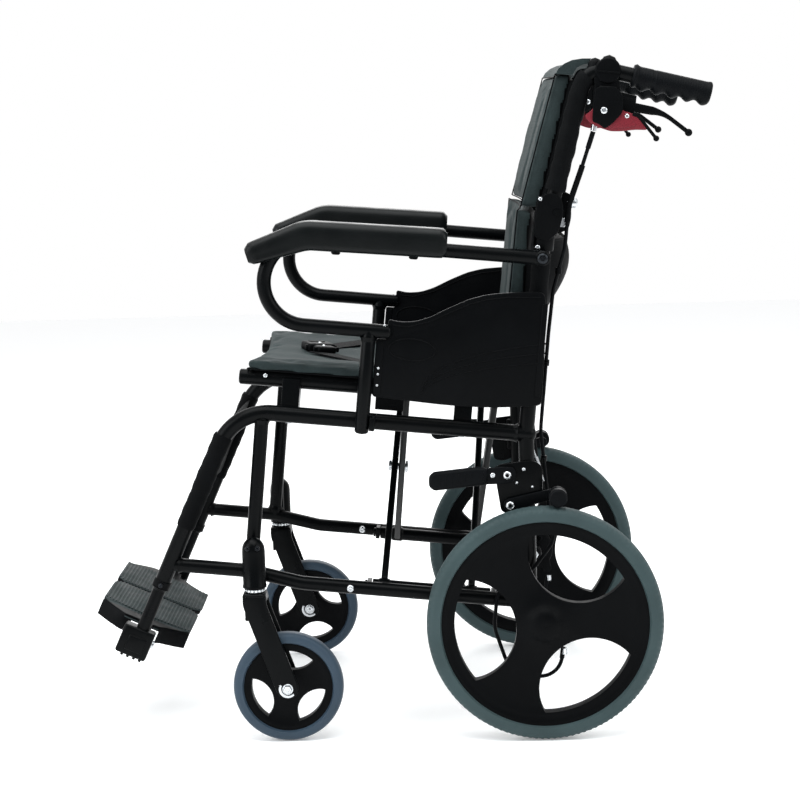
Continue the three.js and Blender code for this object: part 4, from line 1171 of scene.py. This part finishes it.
def set_points(o, v):
    o.data.vertices.foreach_set("co", v.astype(np.float32).ravel())


TO_PLANE = np.array(Matrix.Rotation(PITCH, 3, "X"))


def unpitched(v):
    """Row-frame metres to frame-plane millimetres."""
    return (v * 1000 - np.array([0, AXLE_Y, AXLE_Z])) @ TO_PLANE.T


def repitched(v):
    """Frame-plane millimetres to row-frame metres."""
    return (v @ TO_PLANE + np.array([0, AXLE_Y, AXLE_Z])) / 1000


def hang(x, half):
    """How far cloth that is held at x = half and -half hangs away from a straight line between them."""
    return SLACK * np.clip(1 - (x / half) ** 2, 0, 1)


def on_braces(o):
    """The piece lies between the two seat rails; its placement is baked into its mesh."""
    row(BRACE_X, -260, SEAT_Z)
    row(-BRACE_X, -260, SEAT_Z)
    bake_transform(o)


def folds_flat(o, body="left_frame"):
    """The piece goes with the given body and gets a mesh of its own."""
    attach(o, body)
    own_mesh(o)


PUFF_FRAMES = 20


def seat_pad():
    """The seat, with a sling's hang, slow wrinkles and a front edge that is drawn back in its middle."""
    def held(x, y, z):
        return abs(x) > 186 or y > -100 or y < -428 or z < 304
    o = stuffed("seat_pad", "seat_sling", held, 0.0045)
    v = unpitched(points(o))
    x, y, z = v.T.copy()
    waves = ((0.9, 0.041, 0.006, 0.4), (0.6, 0.083, -0.011, 1.9), (0.5, 0.021, 0.031, 2.7),
             (0.5, 0.012, 0.07, 0.9))
    wrinkles = sum(a * np.sin(y * b + x * c + d) for a, b, c, d in waves)
    drop = hang(x, SEAT_HALF)
    v[:, 2] += wrinkles * np.clip((z - 308) / 5, 0, 1) * np.clip((198 - np.abs(x)) / 40, 0, 1) - drop
    v[:, 1] += np.clip((-340 - y) / 98, 0, 1) * (11 + drop)
    set_points(o, repitched(v))
    show(o, "seat_sling", "seat_fabric")
    on_braces(o)


seat_pad()
front = [(x, -427 + hang(x, SEAT_HALF), 302.4 - hang(x, SEAT_HALF)) for x in range(-196, 197, 14)]
seat_edge = piping([(-198.4, -90, 302.4), *front, (198.4, -90, 302.4)], 1.3)
on_braces(make("seat_piping", pitched(seat_edge), "dark_fabric"))


def hem():
    """The black hem that wraps the top of a seat rail, under the seat's edge."""
    arc = [(math.cos(t), math.sin(t)) for t in [math.radians(a) for a in range(24, 157, 12)]]
    outline = [(BRACE_X + 11.7 * a, SEAT_Z + 11.7 * b) for a, b in arc]
    outline += [(BRACE_X + 10.6 * a, SEAT_Z + 10.6 * b) for a, b in reversed(arc)]
    return plate(outline, -416, -92, 0, "Y", 1)


crossed("seat_hem", pitched(hem()), "dark_fabric")
screw = bolt(BRACE_X + 11.4, BRACE_X + 13, 0, SEAT_Z + 5, 3.0)
crossed("seat_screws", pitched(screw.move(0, -402, 0) + screw.move(0, -150, 0)), "steel")


def back_panel(name, node, z0, z1, front, body):
    """A padded back panel, held at its sides and hems and along two upright seams, and hung slack between
    the canes, no further forward than front: its front is pale, and its sides and back are black."""
    def held(x, y, z):
        return abs(x) > 181 or z < z0 + 9 or z > z1 - 9 or abs(abs(x) - 62) < 3.2
    o = stuffed(name, node, held, 0.0055, 4.5)
    v = unpitched(points(o))
    v[:, 1] = np.maximum(v[:, 1] + hang(v[:, 0], BACK_HALF), front)
    set_points(o, repitched(v))
    show(o, node, "seat_fabric")
    o.data.materials.append(M["dark_fabric"])
    for face in o.data.polygons:
        face.material_index = 1 if face.normal.y > 0.35 else 0
    folds_flat(o, body)


back_panel("back_pad_low", "back_lower", 318, 544, -84.3, "left_frame")
back_panel("back_pad_high", "back_upper", 549, 727, -84, "left_back")


def hung(places):
    """Points on the slack front of the back: the sides stay, and the middle hangs behind them."""
    return [(x, y + hang(x, BACK_HALF), z) for x, y, z in places]


def seam(low, high, name, body):
    """Piping round a back panel's front; low and high are the y and z of its hems."""
    across = [189.4 - 378.8 * k / 24 for k in range(25)]
    edge = hung([(x, *low) for x in across]) + hung([(-x, *high) for x in across]) + [(across[0], *low)]
    folds_flat(make(name, pitched(piping(edge, 0.95)), "dark_fabric"), body)


seam((-83.6, 318.5), (-82, 543.5), "back_low_piping", "left_frame")
seam((-78, 549.5), (-47.4, 726.5), "back_high_piping", "left_back")


def top_roll():
    """The upper panel's top, carried back over the bends of the canes."""
    section = [(-47, 727), (-44, 734), (-37, 741), (-27, 746.5), (-14, 749.6), (-2, 750.6), (-2, 744),
               (-12, 742), (-20, 737), (-25, 727)]
    return rings([hung([(x, y, z - hang(x, BACK_HALF) / 6) for y, z in section])
                  for x in [-196 + 392 * k / 24 for k in range(25)]])


folds_flat(make("back_top_roll", pitched(top_roll()), "seat_fabric", sharp=60), "left_back")


def sleeve(pts, radii, ripples, sides=40):
    """Cloth round a tube with soft gathers; ripples are two of (height, waves round it, drift along it)."""
    (h1, n1, d1), (h2, n2, d2) = ripples
    loops = []
    for i, (p, (_, a, b), r) in enumerate(zip(pts, frames(pts), radii)):
        loops.append([p + a * (r + h1 * math.sin(n1 * t + i * d1)) * math.cos(t)
                      + b * (r + h2 * math.cos(n2 * t + i * d2)) * math.sin(t) for t in angles(sides)])
    return rings(loops)


def cane_sleeve(low, high, r0, r1):
    """The black sleeve of the upper back panel round a cane."""
    pts = [p for p in fine([(FX, *c) for c in CANE], 5) if low < p.z < high and p.y < -4]
    radii = [r0 + (r1 - r0) * i / (len(pts) - 1) + 0.5 * math.sin(i * 1.3) + 0.3 * math.sin(i * 0.57 + 1)
             for i in range(len(pts))]
    return sleeve(pts, radii, ((0.35, 3, 0.5), (0.3, 5, 0.3)))


pair("cane_sleeve", pitched(cane_sleeve(572, 740, 13.2, 12.6)), "dark_fabric", "back")


def upright_sleeve():
    """The lower panel's sleeve on the fixed upright, a little flatter on its outer side."""
    loops = []
    for i, z in enumerate(range(322, 492, 6)):
        r = 12.6 + 0.4 * math.sin(i * 1.1) + 0.3 * math.sin(i * 0.4 + 2)
        loop = []
        for t in angles(40):
            across = min(r, 11.9) if math.cos(t) > 0.5 else r
            loop.append((FX + across * math.cos(t), -45 + r * math.sin(t), z))
        loops.append(loop)
    return rings(loops)


pair("upright_sleeve", pitched(upright_sleeve()), "dark_fabric", "frame")


def side_web(low, high):
    """The cloth from a panel's rear edge to the sleeve: low and high are (z, panel's y, tube's y)."""
    loops = []
    for k in range(25):
        z, a, b = (p + (q - p) * k / 24 for p, q in zip(low, high))
        mid = 0.6 * math.sin(k * 0.9)
        loops.append([(184, a - 1.6, z), (190 + mid, (a + b) / 2 - 2.4, z), (FX - 9, b - 6, z),
                      (FX - 7.4, b - 4, z), (189 + mid, (a + b) / 2 - 0.6, z), (183, a, z)])
    return rings(loops)


pair("upper_web", pitched(side_web((556, -53, -37.5), (720, -28, -14))), "dark_fabric", "back")
pair("lower_web", pitched(side_web((324, -63, -47), (488, -63, -47))), "dark_fabric", "frame")

POUCH_HALF, POUCH_LOW, POUCH_HIGH = 150, 398, 504


def belly(x, share):
    """How far the pouch's front stands out, at x and at a share of its height."""
    full = 20 + 34 * math.sin(math.pi * min(1, 0.1 + share * 0.58)) ** 1.6
    return full * (1 - abs(x / POUCH_HALF) ** 4)


def pouch(columns=36, rows=22):
    """An open-topped pocket: a bellied front wall with a hem, hanging from a flap behind the back."""
    loops = []
    for t in [j / rows for j in range(rows + 1)]:
        z = POUCH_LOW + (POUCH_HIGH - POUCH_LOW) * t
        across = [-POUCH_HALF + 2 * POUCH_HALF * i / columns for i in range(columns + 1)]
        wall = [(x, -52 + belly(x, t) + (1.2 * math.sin(x * 0.05 + t * 4) + 0.8 * math.sin(x * 0.11 - t * 7))
                 * (1 - abs(x / POUCH_HALF) ** 4), z) for x in across]
        loops.append(wall + hung([(x, -60, z) for x in reversed(across)]))
    return rings(loops)


pouch_hem = piping([(x, -53 + belly(x, 1), POUCH_HIGH) for x in range(-POUCH_HALF, POUCH_HALF + 1, 15)], 2.2)
folds_flat(make("back_pocket", pitched(pouch()), "dark_fabric", None, ["back_pouch"], sharp=60))
folds_flat(make("pocket_hem", pitched(pouch_hem), "webbing"))


# ---------------------------------------------------------------- calf strap, belt and buckle
BAND_HALF = FX - 11.6


def calf_band(columns=48, rows=14):
    """A band between the legs that hangs forward in its middle, with a front and a back face."""
    loops = []
    for x in [-BAND_HALF + 2 * BAND_HALF * i / columns for i in range(columns + 1)]:
        sag = 7 * (1 - (x / BAND_HALF) ** 2)
        down = [j / rows for j in range(rows + 1)]
        faces = [(v, 1.0) for v in down] + [(v, -1.2) for v in reversed(down)]
        loops.append([(x, -452.6 - 38 * v + off - sag - 0.8 * math.sin(v * 9 + x * 0.02), 204 - 114 * v)
                      for v, off in faces])
    return rings(loops)


band = make("calf_band", pitched(calf_band()), "dark_fabric", None, ["calf_strap"], sharp=60)
folds_flat(band)


def leg_sleeve():
    pts = fine([(FX, *leg(0.14)), (FX, *leg(0.66))], 5)
    radii = [12.7 + 0.35 * math.sin(i * 1.7) + 0.25 * math.sin(i * 0.6) for i in range(len(pts))]
    radii[0] = radii[-1] = 12.0
    return sleeve(pts, radii, ((0.3, 3, 0.4), (0.3, 2, -0.3)), 36)


pair("leg_sleeve", pitched(leg_sleeve()), "dark_fabric", "frame")


def strap_along(corners, across, width=38, thick=1.8):
    """A flat band along corners, its width in the direction across."""
    side = Vector(across).normalized()
    w, h = width / 2, thick / 2
    half = [(-w, -h * 0.4), (-w + 0.8, -h), (w - 0.8, -h), (w, -h * 0.4)]
    section = half + [(-a, -b) for a, b in half]
    pts = fine(corners, 8.0)
    return rings([[p + side * a + side.cross(d).normalized() * b for a, b in section]
                  for p, (d, _, _) in zip(pts, frames(pts))])


belt = strap_along([(200.6, -232, 262), (200.6, -232, 300)], (0, 1, 0))
over_seat = [(200.6, -232, 298, 0), (200.6, -232, 318, 8), (150, -262, 317, 30), (33, -336, 312.6, 0)]
belt += strap_along(over_seat, (0.15, 1, 0))
for webbing in pair("belt_webbing", pitched(belt), "webbing", None, "lap_belt"):
    on_braces(webbing)


def buckle():
    """A side-release buckle: the socket, its two springs' windows, and the plug behind it."""
    s = box((-30, 8), (-21, 21), (-6.5, 6), 3.5) + box((6, 31), (-14, 14), (-5, 4.5), 3.0)
    s += box((-2, 5), (-24, -18), (-5, 4), 2) + box((-2, 5), (18, 24), (-5, 4), 2)
    s += box((-24, -16), (-12, 12), (4.6, 7), 1) + box((22, 27), (-19, 19), (-3, 4), 1.2)
    return s.turn("Z", math.radians(22)).move(0, -340, 316.5)


on_braces(make("buckle_look", pitched(buckle()), "black_plastic", None, ["belt_buckle"]))
stud = lathe([(5.5, 0), (5.5, 3.2), (7, 2.2), (7, 0)], "Z", 20)
studs = stud.move(-8, -342, 316.5) + stud.move(12, -335, 315)
on_braces(make("buckle_studs", pitched(studs), "steel"))
